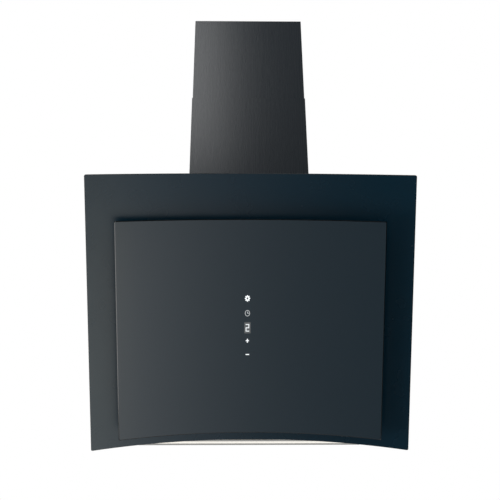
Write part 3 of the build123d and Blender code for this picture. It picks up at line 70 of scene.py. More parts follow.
camera_data = bpy.data.cameras.new("camera")
camera_data.sensor_width = SENSOR_MM
camera_data.lens = FOCAL_PIXELS * SENSOR_MM / PICTURE_PIXELS
camera = bpy.data.objects.new("camera", camera_data)
bpy.context.scene.collection.objects.link(camera)
camera.matrix_world = (
    Matrix.Translation(CAMERA_PLACE)
    @ Matrix.Rotation(CAMERA_YAW, 4, "Z")
    @ Matrix.Rotation(math.pi / 2 + CAMERA_PITCH, 4, "X")
    @ Matrix.Rotation(CAMERA_ROLL, 4, "Z")
)
bpy.context.scene.camera = camera
bpy.context.scene.view_settings.view_transform = "Standard"
print("lens:", camera_data.lens, "mm")

# %% [markdown]
# ## Two helpers for materials
# Colours are picked on a screen, so they are written as sRGB hex codes and turned to linear light
# in one place. A node, its settings and its links are added in one call, which keeps a material's recipe
# readable from top to bottom.

# %% Colour and node helpers
def linear(code):
    """An sRGB hex colour as linear red, green, blue and alpha, by the standard's own curve."""
    channels = np.array([int(code[i:i + 2], 16) for i in (1, 3, 5)]) / 255
    light = np.where(channels <= 0.04045, channels / 12.92, ((channels + 0.055) / 1.055) ** 2.4)
    return [*light, 1.0]


def add_node(tree, kind, inputs=None, **settings):
    """Adds a node, sets its properties, and fills or links its inputs by name or number."""
    made = tree.nodes.new(kind)
    for name, value in settings.items():
        setattr(made, name, value)
    for name, value in (inputs or {}).items():
        if isinstance(value, bpy.types.NodeSocket):
            tree.links.new(value, made.inputs[name])
        else:
            made.inputs[name].default_value = value
    return made


print("mid grey in linear light:", [round(v, 3) for v in linear("#808080")])

# %% [markdown]
# ## White surroundings
# The hood is shown against plain white. Black glass shows what it mirrors more than what lights it, so
# what a mirrored ray meets matters most here, and it is worked out from the ray's direction alone. Behind
# the hood it meets a white backdrop, which fades in from the hood's own plane backwards and begins well
# above the floor, so that the sheets' edges stay dark. Each span is two parts of a unit direction, one
# where the fade starts and one where it ends.

# %% Backdrop
BACKDROP_BACK = (0.0, 0.40)
BACKDROP_UP = (-0.50, -0.30)

world = bpy.data.worlds.new("white studio")
bpy.context.scene.world = world
world.use_nodes = True
tree = world.node_tree
tree.nodes.clear()
way = add_node(tree, "ShaderNodeTexCoord")
axes = add_node(tree, "ShaderNodeSeparateXYZ", {0: way.outputs["Generated"]})
behind = add_node(tree, "ShaderNodeMapRange", {
    "Value": axes.outputs["Y"], "From Min": BACKDROP_BACK[0], "From Max": BACKDROP_BACK[1],
}, interpolation_type="SMOOTHSTEP")
raised = add_node(tree, "ShaderNodeMapRange", {
    "Value": axes.outputs["Z"], "From Min": BACKDROP_UP[0], "From Max": BACKDROP_UP[1],
}, interpolation_type="SMOOTHSTEP")
backdrop = add_node(tree, "ShaderNodeMath", {
    0: behind.outputs[0], 1: raised.outputs[0],
}, operation="MULTIPLY")
print("backdrop fades in between", BACKDROP_UP, "up")

# %% [markdown]
# ## A pale card, low in front
# The bowed sheets lean down and mirror what lies low in front. A pale card lies there and fades from
# right to left, and that makes the slow gradient across the glass. Its brightness is a straight line plus
# a cube, so it climbs faster towards the right. The right end, the brink, is brighter still and a little
# warmer, and then the card stops.

# %% Pale card
CARD_ACROSS = (-0.46, 0.60)
CARD_TOP_LEVEL = 1.12
CARD_STRAIGHT_SHARE = 0.42
CARD_DOWN = (-0.35, -0.70)
CARD_STOP = (0.64, 0.76)
BRINK_ACROSS = (0.435, 0.50)
BRINK_LEVEL = 0.6

across = add_node(tree, "ShaderNodeMapRange", {
    "Value": axes.outputs["X"], "From Min": CARD_ACROSS[0], "From Max": CARD_ACROSS[1],
    "To Min": 0.0, "To Max": CARD_TOP_LEVEL,
})
squared = add_node(tree, "ShaderNodeMath", {0: across.outputs[0], 1: 2.0}, operation="POWER")
lifted = add_node(tree, "ShaderNodeMath", {0: squared.outputs[0], 1: CARD_STRAIGHT_SHARE}, operation="ADD")
fade = add_node(tree, "ShaderNodeMath", {0: lifted.outputs[0], 1: across.outputs[0]}, operation="MULTIPLY")
brink = add_node(tree, "ShaderNodeMapRange", {
    "Value": axes.outputs["X"], "From Min": BRINK_ACROSS[0], "From Max": BRINK_ACROSS[1],
}, interpolation_type="SMOOTHSTEP")
bright = add_node(tree, "ShaderNodeMath", {
    0: brink.outputs[0], 1: BRINK_LEVEL, 2: fade.outputs[0],
}, operation="MULTIPLY_ADD")
low = add_node(tree, "ShaderNodeMapRange", {
    "Value": axes.outputs["Z"], "From Min": CARD_DOWN[0], "From Max": CARD_DOWN[1],
}, interpolation_type="SMOOTHSTEP")
ended = add_node(tree, "ShaderNodeMapRange", {
    "Value": axes.outputs["X"], "From Min": CARD_STOP[0], "From Max": CARD_STOP[1],
    "To Min": 1.0, "To Max": 0.0,
}, interpolation_type="SMOOTHSTEP")
shape = add_node(tree, "ShaderNodeMath", {0: low.outputs[0], 1: ended.outputs[0]}, operation="MULTIPLY")
card = add_node(tree, "ShaderNodeMath", {0: bright.outputs[0], 1: shape.outputs[0]}, operation="MULTIPLY")
print("card across", CARD_ACROSS)

# %% [markdown]
# ## Which ray sees what
# The camera, and rays that pass through glass, see plain white. Mirrored rays see the backdrop and the
# card. All other rays, the ones that light the pieces, meet an even pale grey.

# %% World's light
AMBIENT_LEVEL = 0.55

path = add_node(tree, "ShaderNodeLightPath")
room = add_node(tree, "ShaderNodeMath", {0: backdrop.outputs[0], 1: card.outputs[0]}, operation="MAXIMUM")
mirrored = add_node(tree, "ShaderNodeMix", {
    "Factor": path.outputs["Is Glossy Ray"], "A": AMBIENT_LEVEL, "B": room.outputs[0],
})
seen = add_node(tree, "ShaderNodeMath", {
    0: path.outputs["Is Camera Ray"], 1: path.outputs["Is Transmission Ray"],
}, operation="MAXIMUM")
level = add_node(tree, "ShaderNodeMix", {"Factor": seen.outputs[0], "A": mirrored.outputs[0], "B": 1.0})
warmth = add_node(tree, "ShaderNodeMath", {
    0: brink.outputs[0], 1: path.outputs["Is Glossy Ray"],
}, operation="MULTIPLY")
tint = add_node(tree, "ShaderNodeMix", {
    "Factor": warmth.outputs[0], "A": linear("#ffffff"), "B": linear("#fffcef"),
}, data_type="RGBA")
glow = add_node(tree, "ShaderNodeBackground", {
    "Color": tint.outputs["Result"], "Strength": level.outputs[0],
})
add_node(tree, "ShaderNodeOutputWorld", {"Surface": glow.outputs[0]})
print("light on the pieces from all round:", AMBIENT_LEVEL)

# %% [markdown]
# ## The floor
# The floor lies where a kitchen's floor would be, well under the hood, and fades into the white backdrop
# a few metres out, so no horizon shows. Near the middle it is a pale trowelled plaster that keeps the
# hood's soft shadow. Mirrored rays pass it, because the pale card of the world stands for it there.

# %% Floor
FLOOR_Z = -1.65
FLOOR_REACH = 6.0
FLOOR_FADE = (2.0, 4.5)
TROWEL_SIZE = 400 * MM

corners = FLOOR_REACH * np.array([(-1, -1), (1, -1), (1, 1), (-1, 1)])
floor_mesh = bpy.data.meshes.new("floor")
floor_mesh.from_pydata([(x, y, FLOOR_Z) for x, y in corners.tolist()], [], [(0, 1, 2, 3)])
floor = bpy.data.objects.new("floor", floor_mesh)
bpy.context.scene.collection.objects.link(floor)
floor.visible_glossy = False

plaster = bpy.data.materials.new("plaster_trowelled")
plaster.use_nodes = True
tree = plaster.node_tree
tree.nodes.clear()
spot = add_node(tree, "ShaderNodeTexCoord").outputs["Object"]
cloud = add_node(tree, "ShaderNodeTexNoise", {"Vector": spot, "Scale": 1 / TROWEL_SIZE, "Detail": 5.0})
tone = add_node(tree, "ShaderNodeMix", {
    "Factor": cloud.outputs["Fac"], "A": linear("#e6e6e4"), "B": linear("#f2f2f0"),
}, data_type="RGBA")
away = add_node(tree, "ShaderNodeVectorMath", {0: spot}, operation="LENGTH")
edge = add_node(tree, "ShaderNodeMapRange", {
    "Value": away.outputs["Value"], "From Min": FLOOR_FADE[0], "From Max": FLOOR_FADE[1],
}, interpolation_type="SMOOTHSTEP")
path = add_node(tree, "ShaderNodeLightPath")
far = add_node(tree, "ShaderNodeMath", {
    0: edge.outputs[0], 1: path.outputs["Is Camera Ray"],
}, operation="MULTIPLY")
matt = add_node(tree, "ShaderNodeBsdfPrincipled", {"Base Color": tone.outputs["Result"], "Roughness": 0.9})
white = add_node(tree, "ShaderNodeEmission", {"Color": (1, 1, 1, 1), "Strength": 1.0})
both = add_node(tree, "ShaderNodeMixShader", {0: far.outputs[0], 1: matt.outputs[0], 2: white.outputs[0]})
add_node(tree, "ShaderNodeOutputMaterial", {"Surface": both.outputs[0]})
floor_mesh.materials.append(plaster)
print("floor at", FLOOR_Z)


# %% [markdown]
# ## Lamps
# Two large soft lamps. The upright chimney mirrors what hangs high in front of it, so the right-hand edge
# of the high lamp lies just where the chimney's left side mirrors it, and the shine fades across the
# steel. The second stands low at the left, where the bevel on the front sheet's left edge mirrors it, and
# draws the bright line down that edge.

# %% Lamps
def softbox(name, place, target, width, height, level):
    """A rectangular lamp turned to a target; its power follows from its size and its brightness."""
    data = bpy.data.lights.new(name, "AREA")
    data.shape = "RECTANGLE"
    data.size, data.size_y = width, height
    data.energy = level * math.pi * width * height
    lamp = bpy.data.objects.new(name, data)
    facing = Vector(np.subtract(place, target)).to_track_quat("Z", "Y").to_matrix().to_4x4()
    lamp.matrix_world = Matrix.Translation(place) @ facing
    lamp.visible_camera = False
    bpy.context.scene.collection.objects.link(lamp)
    return lamp


high_lamp = softbox(
    "high_lamp", place=(-0.69, -1.25, 1.50), target=(-0.69, 0.0, 1.50),
    width=1.2, height=0.9, level=3.6,
)
left_lamp = softbox(
    "left_lamp", place=(-1.76, -0.55, -0.72), target=(-0.26, -0.27, -0.02),
    width=0.9, height=1.2, level=3.3,
)
print("lamps:", [round(lamp.data.energy, 1) for lamp in (high_lamp, left_lamp)], "W")


# %% [markdown]
# ## Starting a material
# Every recipe below begins the same way: an empty node tree and the spot on the object, which here is in
# the model's metres. A pattern's scale is then one over its real size. A noise's values crowd round one
# half, so most recipes spread the part from 0.3 to 0.7 over the range they want.

# %% Empty finish
FINISH = {}
NOISE_SPAN = {"From Min": 0.3, "From Max": 0.7}


def start_finish(slot, name):
    """Makes an empty material for a slot of the model and gives its tree and the spot on the object."""
    made = bpy.data.materials.new(name)
    made.use_nodes = True
    made.node_tree.nodes.clear()
    FINISH[slot] = made
    return made.node_tree, add_node(made.node_tree, "ShaderNodeTexCoord").outputs["Object"]


print("a noise is spread from:", NOISE_SPAN)


# %% [markdown]
# ## Toughened glass, enamelled black
# The sheets are float glass, bowed hot, with black enamel fired on the back. What the eye gets is a deep,
# slightly blue-green black under a clear skin, a satin mirror that is never quite clean, and dark edges
# ground smooth. The edge is found from the surface's own direction: on the faces it never points along
# the slope and only a little across, on the edges and their bevels it does. Both sheets share the recipe.
# The front one is a touch lighter, because its enamel is a satin grey-black, and its edges are polished,
# so that a lamp draws a fine line down them. The sheet behind has edges that are only ground.

# %% Enamelled glass
SLOPE = math.radians(36.5)
FILM_SIZE = 45 * MM
GRIND_SIZE = 1.2 * MM
EDGE_TURN = (0.39, 0.45)
FILM_HAZE = 0.03
GRIND_HAZE = 0.08


def enamelled_glass(slot, name, enamel, edge, gloss, edge_gloss):
    """Black glass with a hazy film and dark edges, for a sheet that leans by SLOPE.

    Gives the tree, the spot on the object and the shader."""
    tree, spot = start_finish(slot, name)
    film = add_node(tree, "ShaderNodeTexNoise", {"Vector": spot, "Scale": 1 / FILM_SIZE, "Detail": 2.0})
    face_rough = add_node(tree, "ShaderNodeMapRange", {
        "Value": film.outputs["Fac"], **NOISE_SPAN, "To Min": gloss, "To Max": gloss + FILM_HAZE,
    })
    leaned = add_node(tree, "ShaderNodeMapping", {
        "Vector": spot.node.outputs["Normal"], "Rotation": (-SLOPE, 0, 0),
    }, vector_type="NORMAL")
    size = add_node(tree, "ShaderNodeVectorMath", {0: leaned.outputs[0]}, operation="ABSOLUTE")
    parts = add_node(tree, "ShaderNodeSeparateXYZ", {0: size.outputs[0]})
    sideways = add_node(tree, "ShaderNodeMath", {
        0: parts.outputs["X"], 1: parts.outputs["Z"],
    }, operation="MAXIMUM")
    ground = add_node(tree, "ShaderNodeMapRange", {
        "Value": sideways.outputs[0], "From Min": EDGE_TURN[0], "From Max": EDGE_TURN[1],
    }, interpolation_type="SMOOTHSTEP")
    grit = add_node(tree, "ShaderNodeTexNoise", {"Vector": spot, "Scale": 1 / GRIND_SIZE})
    scoured = add_node(tree, "ShaderNodeMapRange", {
        "Value": grit.outputs["Fac"], **NOISE_SPAN, "To Min": edge_gloss, "To Max": edge_gloss + GRIND_HAZE,
    })
    colour = add_node(tree, "ShaderNodeMix", {
        "Factor": ground.outputs[0], "A": linear(enamel), "B": linear(edge),
    }, data_type="RGBA")
    rough = add_node(tree, "ShaderNodeMix", {
        "Factor": ground.outputs[0], "A": face_rough.outputs[0], "B": scoured.outputs[0],
    })
    shader = add_node(tree, "ShaderNodeBsdfPrincipled", {
        "Base Color": colour.outputs["Result"], "Roughness": rough.outputs[0], "IOR": 1.52,
    })
    return tree, spot, shader


tree, spot, shader = enamelled_glass(
    "black_glass", "glass_enamelled_black",
    enamel="#062a3a", edge="#14242b", gloss=0.25, edge_gloss=0.5,
)
add_node(tree, "ShaderNodeOutputMaterial", {"Surface": shader.outputs[0]})
print("finishes:", list(FINISH))

# %% [markdown]
# ## The front sheet and its left rim
# The two sheets stand so close that the one behind mirrors the other's rear. Light from the left reaches
# into that gap, and the picture shows hardly any darkness at the front sheet's left rim, though there is
# plenty at its right and above it. So that rim lets mirrored rays by, the more the nearer they pass to
# its edge. Seen straight on, the sheet is as solid as the other.

# %% Front sheet
RIM_CLEAR = 5 * MM
RIM_SOLID = 25 * MM

tree, spot, shader = enamelled_glass(
    "front_black_glass", "glass_enamelled_satin",
    enamel="#2b3841", edge="#0a0f12", gloss=0.17, edge_gloss=0.1,
)
left_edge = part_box("front_glass")[0][0]
parts = add_node(tree, "ShaderNodeSeparateXYZ", {0: spot})
rim = add_node(tree, "ShaderNodeMapRange", {
    "Value": parts.outputs["X"], "From Min": left_edge + RIM_CLEAR, "From Max": left_edge + RIM_SOLID,
    "To Min": 1.0, "To Max": 0.0,
}, interpolation_type="SMOOTHSTEP")
path = add_node(tree, "ShaderNodeLightPath")
passed = add_node(tree, "ShaderNodeMath", {
    0: rim.outputs[0], 1: path.outputs["Is Glossy Ray"],
}, operation="MULTIPLY")
clear = add_node(tree, "ShaderNodeBsdfTransparent")
both = add_node(tree, "ShaderNodeMixShader", {
    0: passed.outputs[0], 1: shader.outputs[0], 2: clear.outputs[0],
})
add_node(tree, "ShaderNodeOutputMaterial", {"Surface": both.outputs[0]})
print("left edge at", round(left_edge, 4))

# %% [markdown]
# ## Chimney steel, brushed and painted black
# The chimney is folded from sheet steel that was brushed upward and then painted a satin graphite. The
# paint fills most of the brushing, so the eye gets long, faint upright streaks in the shine and hardly any
# in the colour. Real strokes lie about 0.2 mm apart. They are drawn 1.5 mm apart, or none would show. The
# paint's tone also drifts a little, over a hand's width.

# %% Chimney steel
STROKE_ACROSS = 1.5 * MM
STROKE_LONG = 120 * MM
DRIFT_SIZE = 111 * MM

tree, spot = start_finish("chimney_steel", "steel_brushed_painted_graphite")
stretched = add_node(tree, "ShaderNodeMapping", {
    "Vector": spot, "Scale": (1 / STROKE_ACROSS, 1 / STROKE_ACROSS, 1 / STROKE_LONG),
})
strokes = add_node(tree, "ShaderNodeTexNoise", {"Vector": stretched.outputs[0], "Scale": 1.0, "Detail": 3.0})
drift = add_node(tree, "ShaderNodeTexNoise", {"Vector": spot, "Scale": 1 / DRIFT_SIZE, "Detail": 3.0})
tone = add_node(tree, "ShaderNodeMix", {
    "Factor": strokes.outputs["Fac"], "A": linear("#292f33"), "B": linear("#2b3135"),
}, data_type="RGBA")
painted = add_node(tree, "ShaderNodeMix", {
    "Factor": drift.outputs["Fac"], "A": tone.outputs["Result"], "B": linear("#282d33"),
}, data_type="RGBA")
rough = add_node(tree, "ShaderNodeMapRange", {
    "Value": strokes.outputs["Fac"], **NOISE_SPAN, "To Min": 0.265, "To Max": 0.285,
})
relief = add_node(tree, "ShaderNodeBump", {
    "Height": strokes.outputs["Fac"], "Strength": 0.02, "Distance": 0.02 * MM,
})
shader = add_node(tree, "ShaderNodeBsdfPrincipled", {
    "Base Color": painted.outputs["Result"], "Roughness": rough.outputs[0], "Normal": relief.outputs[0],
})
add_node(tree, "ShaderNodeOutputMaterial", {"Surface": shader.outputs[0]})
print("brushing:", STROKE_ACROSS / MM, "mm apart")

# %% [markdown]
# ## Casing steel, powder coated
# Powder is sprayed on dry and melts in an oven. It flows out into a skin with the shallow dimples called
# orange peel, two to three millimetres apart, which break up a reflection without dulling it. Kitchen
# dust settles on it in patches as wide as a palm.

# %% Powder coat
PEEL_SIZE = 2.6 * MM
DUST_SIZE = 71.4 * MM

tree, spot = start_finish("painted_steel", "steel_powder_coated_black")
peel = add_node(tree, "ShaderNodeTexNoise", {"Vector": spot, "Scale": 1 / PEEL_SIZE, "Detail": 1.5})
dust = add_node(tree, "ShaderNodeTexNoise", {"Vector": spot, "Scale": 1 / DUST_SIZE, "Detail": 6.0})
tone = add_node(tree, "ShaderNodeMix", {
    "Factor": dust.outputs["Fac"], "A": linear("#17191a"), "B": linear("#232628"),
}, data_type="RGBA")
rough = add_node(tree, "ShaderNodeMapRange", {
    "Value": dust.outputs["Fac"], **NOISE_SPAN, "To Min": 0.38, "To Max": 0.52,
})
relief = add_node(tree, "ShaderNodeBump", {
    "Height": peel.outputs["Fac"], "Strength": 0.25, "Distance": 0.08 * MM,
})
shader = add_node(tree, "ShaderNodeBsdfPrincipled", {
    "Base Color": tone.outputs["Result"], "Roughness": rough.outputs[0], "Normal": relief.outputs[0],
})
add_node(tree, "ShaderNodeOutputMaterial", {"Surface": shader.outputs[0]})
print("orange peel:", PEEL_SIZE / MM, "mm")

# %% [markdown]
# ## Galvanised sheet
# Hot-dipped zinc freezes into crystals, the spangle, of a few millimetres to a few centimetres. Each one
# tilts its own way, so neighbours differ in brightness and gloss. A cell pattern gives every crystal one
# random value, and a finer noise lays the pale bloom of oxide over it.

# %% Zinc
SPANGLE_SIZE = 9 * MM
OXIDE_SIZE = 16.7 * MM

tree, spot = start_finish("zinc_steel", "steel_hot_dip_galvanised")
spangle = add_node(tree, "ShaderNodeTexVoronoi", {"Vector": spot, "Scale": 1 / SPANGLE_SIZE})
crystal = add_node(tree, "ShaderNodeSeparateXYZ", {0: spangle.outputs["Color"]})
oxide = add_node(tree, "ShaderNodeTexNoise", {"Vector": spot, "Scale": 1 / OXIDE_SIZE, "Detail": 6.0})
tone = add_node(tree, "ShaderNodeMix", {
    "Factor": crystal.outputs["X"], "A": linear("#9aa0a4"), "B": linear("#c3c8cb"),
}, data_type="RGBA")
dulled = add_node(tree, "ShaderNodeMix", {
    "Factor": oxide.outputs["Fac"], "A": tone.outputs["Result"], "B": linear("#aeb1b0"),
}, data_type="RGBA")
rough = add_node(tree, "ShaderNodeMapRange", {
    "Value": crystal.outputs["Y"], "To Min": 0.32, "To Max": 0.52,
})
shader = add_node(tree, "ShaderNodeBsdfPrincipled", {
    "Base Color": dulled.outputs["Result"], "Roughness": rough.outputs[0], "Metallic": 1.0,
})
add_node(tree, "ShaderNodeOutputMaterial", {"Surface": shader.outputs[0]})
print("spangle:", SPANGLE_SIZE / MM, "mm")

# %% [markdown]
# ## Aluminium, drawn and anodised
# The light bar's profile is pushed through a die and the filter frames are rolled. Both leave fine lines
# along the metal, and the anodised skin turns the shine soft and slightly grey. The lines run across the
# hood, a few tenths of a millimetre apart, drawn 0.8 mm apart so that a close view shows them.

# %% Aluminium
DRAW_ACROSS = 0.8 * MM
DRAW_LONG = 90 * MM

tree, spot = start_finish("aluminium", "aluminium_drawn_anodised")
stretched = add_node(tree, "ShaderNodeMapping", {
    "Vector": spot, "Scale": (1 / DRAW_LONG, 1 / DRAW_ACROSS, 1 / DRAW_ACROSS),
})
lines = add_node(tree, "ShaderNodeTexNoise", {"Vector": stretched.outputs[0], "Scale": 1.0, "Detail": 2.0})
tone = add_node(tree, "ShaderNodeMix", {
    "Factor": lines.outputs["Fac"], "A": linear("#908f8b"), "B": linear("#a8a7a3"),
}, data_type="RGBA")
rough = add_node(tree, "ShaderNodeMapRange", {
    "Value": lines.outputs["Fac"], **NOISE_SPAN, "To Min": 0.30, "To Max": 0.40,
})
relief = add_node(tree, "ShaderNodeBump", {
    "Height": lines.outputs["Fac"], "Strength": 0.15, "Distance": 0.03 * MM,
})
shader = add_node(tree, "ShaderNodeBsdfPrincipled", {
    "Base Color": tone.outputs["Result"], "Roughness": rough.outputs[0], "Metallic": 1.0,
    "Normal": relief.outputs[0],
})
add_node(tree, "ShaderNodeOutputMaterial", {"Surface": shader.outputs[0]})
print("draw lines:", DRAW_ACROSS / MM, "mm apart")

# %% [markdown]
# ## Filter mesh, slit and stretched
# The filters' mesh is thin aluminium, slit and pulled open, and left bare. A film of kitchen grease lies
# on it in patches. Where it is thick, the metal looks duller and faintly warm.

# %% Mesh metal
GREASE_SIZE = 35 * MM

tree, spot = start_finish("filter_mesh", "aluminium_expanded_bare")
grease = add_node(tree, "ShaderNodeTexNoise", {
    "Vector": spot, "Scale": 1 / GREASE_SIZE, "Detail": 5.0, "Roughness": 0.65,
})
tone = add_node(tree, "ShaderNodeMix", {
    "Factor": grease.outputs["Fac"], "A": linear("#c2c4c5"), "B": linear("#a39d90"),
}, data_type="RGBA")
rough = add_node(tree, "ShaderNodeMapRange", {
    "Value": grease.outputs["Fac"], **NOISE_SPAN, "To Min": 0.26, "To Max": 0.46,
})
shader = add_node(tree, "ShaderNodeBsdfPrincipled", {
    "Base Color": tone.outputs["Result"], "Roughness": rough.outputs[0], "Metallic": 1.0,
})
add_node(tree, "ShaderNodeOutputMaterial", {"Surface": shader.outputs[0]})
print("grease patches:", GREASE_SIZE / MM, "mm")


# %% [markdown]
# ## Moulded plastics
# The latches, damper, fan housing, washers and control box are injection moulded. A mould is spark eroded
# to a fine even grain, which leaves an ABS or polyamide surface matt, with a soft shine at a glance. The
# three plastics differ only in colour, shine and how coarse the grain is, so one recipe makes them all.
# Slow flow marks of a few centimetres vary the shine.

# %% Plastics
FLOW_SIZE = 30 * MM
FLOW_HAZE = 0.1


def moulded_plastic(slot, name, dark, light, grain, gloss):
    """Plastic with a spark-eroded grain of the given size."""
    tree, spot = start_finish(slot, name)
    pits = add_node(tree, "ShaderNodeTexNoise", {"Vector": spot, "Scale": 1 / grain, "Detail": 2.0})
    flow = add_node(tree, "ShaderNodeTexNoise", {"Vector": spot, "Scale": 1 / FLOW_SIZE, "Detail": 3.0})
    tone = add_node(tree, "ShaderNodeMix", {
        "Factor": flow.outputs["Fac"], "A": linear(dark), "B": linear(light),
    }, data_type="RGBA")
    rough = add_node(tree, "ShaderNodeMapRange", {
        "Value": flow.outputs["Fac"], **NOISE_SPAN, "To Min": gloss, "To Max": gloss + FLOW_HAZE,
    })
    relief = add_node(tree, "ShaderNodeBump", {
        "Height": pits.outputs["Fac"], "Strength": 0.3, "Distance": 0.06 * MM,
    })
    shader = add_node(tree, "ShaderNodeBsdfPrincipled", {
        "Base Color": tone.outputs["Result"], "Roughness": rough.outputs[0], "IOR": 1.54,
        "Normal": relief.outputs[0],
    })
    add_node(tree, "ShaderNodeOutputMaterial", {"Surface": shader.outputs[0]})


moulded_plastic("black_plastic", "polyamide_moulded_black", "#1d1e1f", "#292a2b", 0.7 * MM, gloss=0.45)
moulded_plastic("grey_plastic", "polypropylene_moulded_grey", "#74777a", "#84878a", 0.9 * MM, gloss=0.48)
moulded_plastic("white_plastic", "abs_moulded_white", "#dad9d3", "#e6e5e0", 0.6 * MM, gloss=0.42)
print("finishes:", len(FINISH))

# %% [markdown]
# ## Opal acrylic, lit
# The light bar's cover is extruded acrylic with white pigment, over a row of warm white LEDs 10 mm apart.
# The pigment spreads their light to an even band, with only a trace of each lamp left, and the long edges
# are a little dimmer. The glow adds to the room's light that the white cover throws back, and the two
# together come just short of the picture's white.

# %% Lit cover
LED_PITCH = 10 * MM
COVER_EVEN = 5 * MM
COVER_EDGE = 8.5 * MM
LED_LEVELS = (0.54, 0.58)
EDGE_SHARE = 0.8
low, high = [np.array(corner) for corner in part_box("led_diffuser")]
cover_middle = (low + high) / 2

tree, spot = start_finish("opal", "acrylic_opal_lit")
centred = add_node(tree, "ShaderNodeVectorMath", {0: spot, 1: cover_middle}, operation="SUBTRACT")
parts = add_node(tree, "ShaderNodeSeparateXYZ", {0: centred.outputs[0]})
turn = add_node(tree, "ShaderNodeMath", {
    0: parts.outputs["X"], 1: 2 * math.pi / LED_PITCH,
}, operation="MULTIPLY")
wave = add_node(tree, "ShaderNodeMath", {0: turn.outputs[0]}, operation="COSINE")
hot = add_node(tree, "ShaderNodeMapRange", {
    "Value": wave.outputs[0], "From Min": -1.0, "From Max": 1.0,
    "To Min": LED_LEVELS[0], "To Max": LED_LEVELS[1],
})
off_line = add_node(tree, "ShaderNodeMath", {0: parts.outputs["Y"]}, operation="ABSOLUTE")
dim = add_node(tree, "ShaderNodeMapRange", {
    "Value": off_line.outputs[0], "From Min": COVER_EVEN, "From Max": COVER_EDGE,
    "To Min": 1.0, "To Max": EDGE_SHARE,
}, interpolation_type="SMOOTHSTEP")
strength = add_node(tree, "ShaderNodeMath", {0: hot.outputs[0], 1: dim.outputs[0]}, operation="MULTIPLY")
shader = add_node(tree, "ShaderNodeBsdfPrincipled", {
    "Base Color": linear("#c9c6be"), "Roughness": 0.35, "IOR": 1.49,
    "Emission Color": linear("#fffaf2"), "Emission Strength": strength.outputs[0],
})
add_node(tree, "ShaderNodeOutputMaterial", {"Surface": shader.outputs[0]})
print("lit cover:", [round(v, 3) for v in high - low], "m")

# %% [markdown]
# ## Circuit board
# Glass-fibre laminate under a green solder mask. Tracks a millimetre or so wide run under the mask and
# stand out a little paler, some along the board and some across. Two combs of stripes, one each way, are
# shown in alternate square patches, which gives that woven look of routed tracks.

# %% Board
TRACK_PITCH = 3.0 * MM
TRACK_RIM = (0.25, 0.45)
PATCH_SIZE = 16 * MM

tree, spot = start_finish("board", "laminate_green_solder_mask")
turned = add_node(tree, "ShaderNodeMapping", {"Vector": spot, "Rotation": (-SLOPE, 0, 0)})
parts = add_node(tree, "ShaderNodeSeparateXYZ", {0: turned.outputs[0]})
tracks = []
for axis in ("X", "Z"):
    phase = add_node(tree, "ShaderNodeMath", {
        0: parts.outputs[axis], 1: 2 * math.pi / TRACK_PITCH,
    }, operation="MULTIPLY")
    comb = add_node(tree, "ShaderNodeMath", {0: phase.outputs[0]}, operation="SINE")
    tracks.append(add_node(tree, "ShaderNodeMapRange", {
        "Value": comb.outputs[0], "From Min": TRACK_RIM[0], "From Max": TRACK_RIM[1],
    }).outputs[0])
patch = add_node(tree, "ShaderNodeTexChecker", {"Vector": turned.outputs[0], "Scale": 1 / PATCH_SIZE})
track = add_node(tree, "ShaderNodeMix", {"Factor": patch.outputs["Fac"], "A": tracks[0], "B": tracks[1]})
tone = add_node(tree, "ShaderNodeMix", {
    "Factor": track.outputs[0], "A": linear("#12452a"), "B": linear("#1f6b40"),
}, data_type="RGBA")
relief = add_node(tree, "ShaderNodeBump", {
    "Height": track.outputs[0], "Strength": 0.4, "Distance": 0.05 * MM,
})
shader = add_node(tree, "ShaderNodeBsdfPrincipled", {
    "Base Color": tone.outputs["Result"], "Roughness": 0.28, "IOR": 1.55, "Normal": relief.outputs[0],
})
add_node(tree, "ShaderNodeOutputMaterial", {"Surface": shader.outputs[0]})
print("tracks:", TRACK_PITCH / MM, "mm apart")

# %% [markdown]
# ## EPDM rubber
# The gasket and bumpers are moulded rubber. It swallows light, and a pale, dusty bloom gathers on it in
# patches, so the eye reads it as soft.

# %% Rubber
BLOOM_SIZE = 8 * MM

tree, spot = start_finish("rubber", "rubber_epdm_moulded")
bloom = add_node(tree, "ShaderNodeTexNoise", {"Vector": spot, "Scale": 1 / BLOOM_SIZE, "Detail": 6.0})
tone = add_node(tree, "ShaderNodeMix", {
    "Factor": bloom.outputs["Fac"], "A": linear("#151515"), "B": linear("#2a2a29"),
}, data_type="RGBA")
rough = add_node(tree, "ShaderNodeMapRange", {
    "Value": bloom.outputs["Fac"], **NOISE_SPAN, "To Min": 0.72, "To Max": 0.88,
})
relief = add_node(tree, "ShaderNodeBump", {
    "Height": bloom.outputs["Fac"], "Strength": 0.3, "Distance": 0.1 * MM,
})
shader = add_node(tree, "ShaderNodeBsdfPrincipled", {
    "Base Color": tone.outputs["Result"], "Roughness": rough.outputs[0], "IOR": 1.5,
    "Normal": relief.outputs[0],
})
add_node(tree, "ShaderNodeOutputMaterial", {"Surface": shader.outputs[0]})
print("bloom:", BLOOM_SIZE / MM, "mm")


# %% [markdown]
# ## Turned and pressed steel: screws, pins and the motor's can
# Small steel parts come plated with zinc, or blackened, and the motor's can is drawn from bare sheet and
# lacquered. All three show short, fine tool marks and a slow change of tone where the bath or the oil
# coloured them. Plated steel is a metal to the eye, blackened steel is nearly a satin paint.

# %% Small steel
TOOL_MARK = 0.5 * MM
STAIN_SIZE = 6 * MM
TOOL_HAZE = 0.12


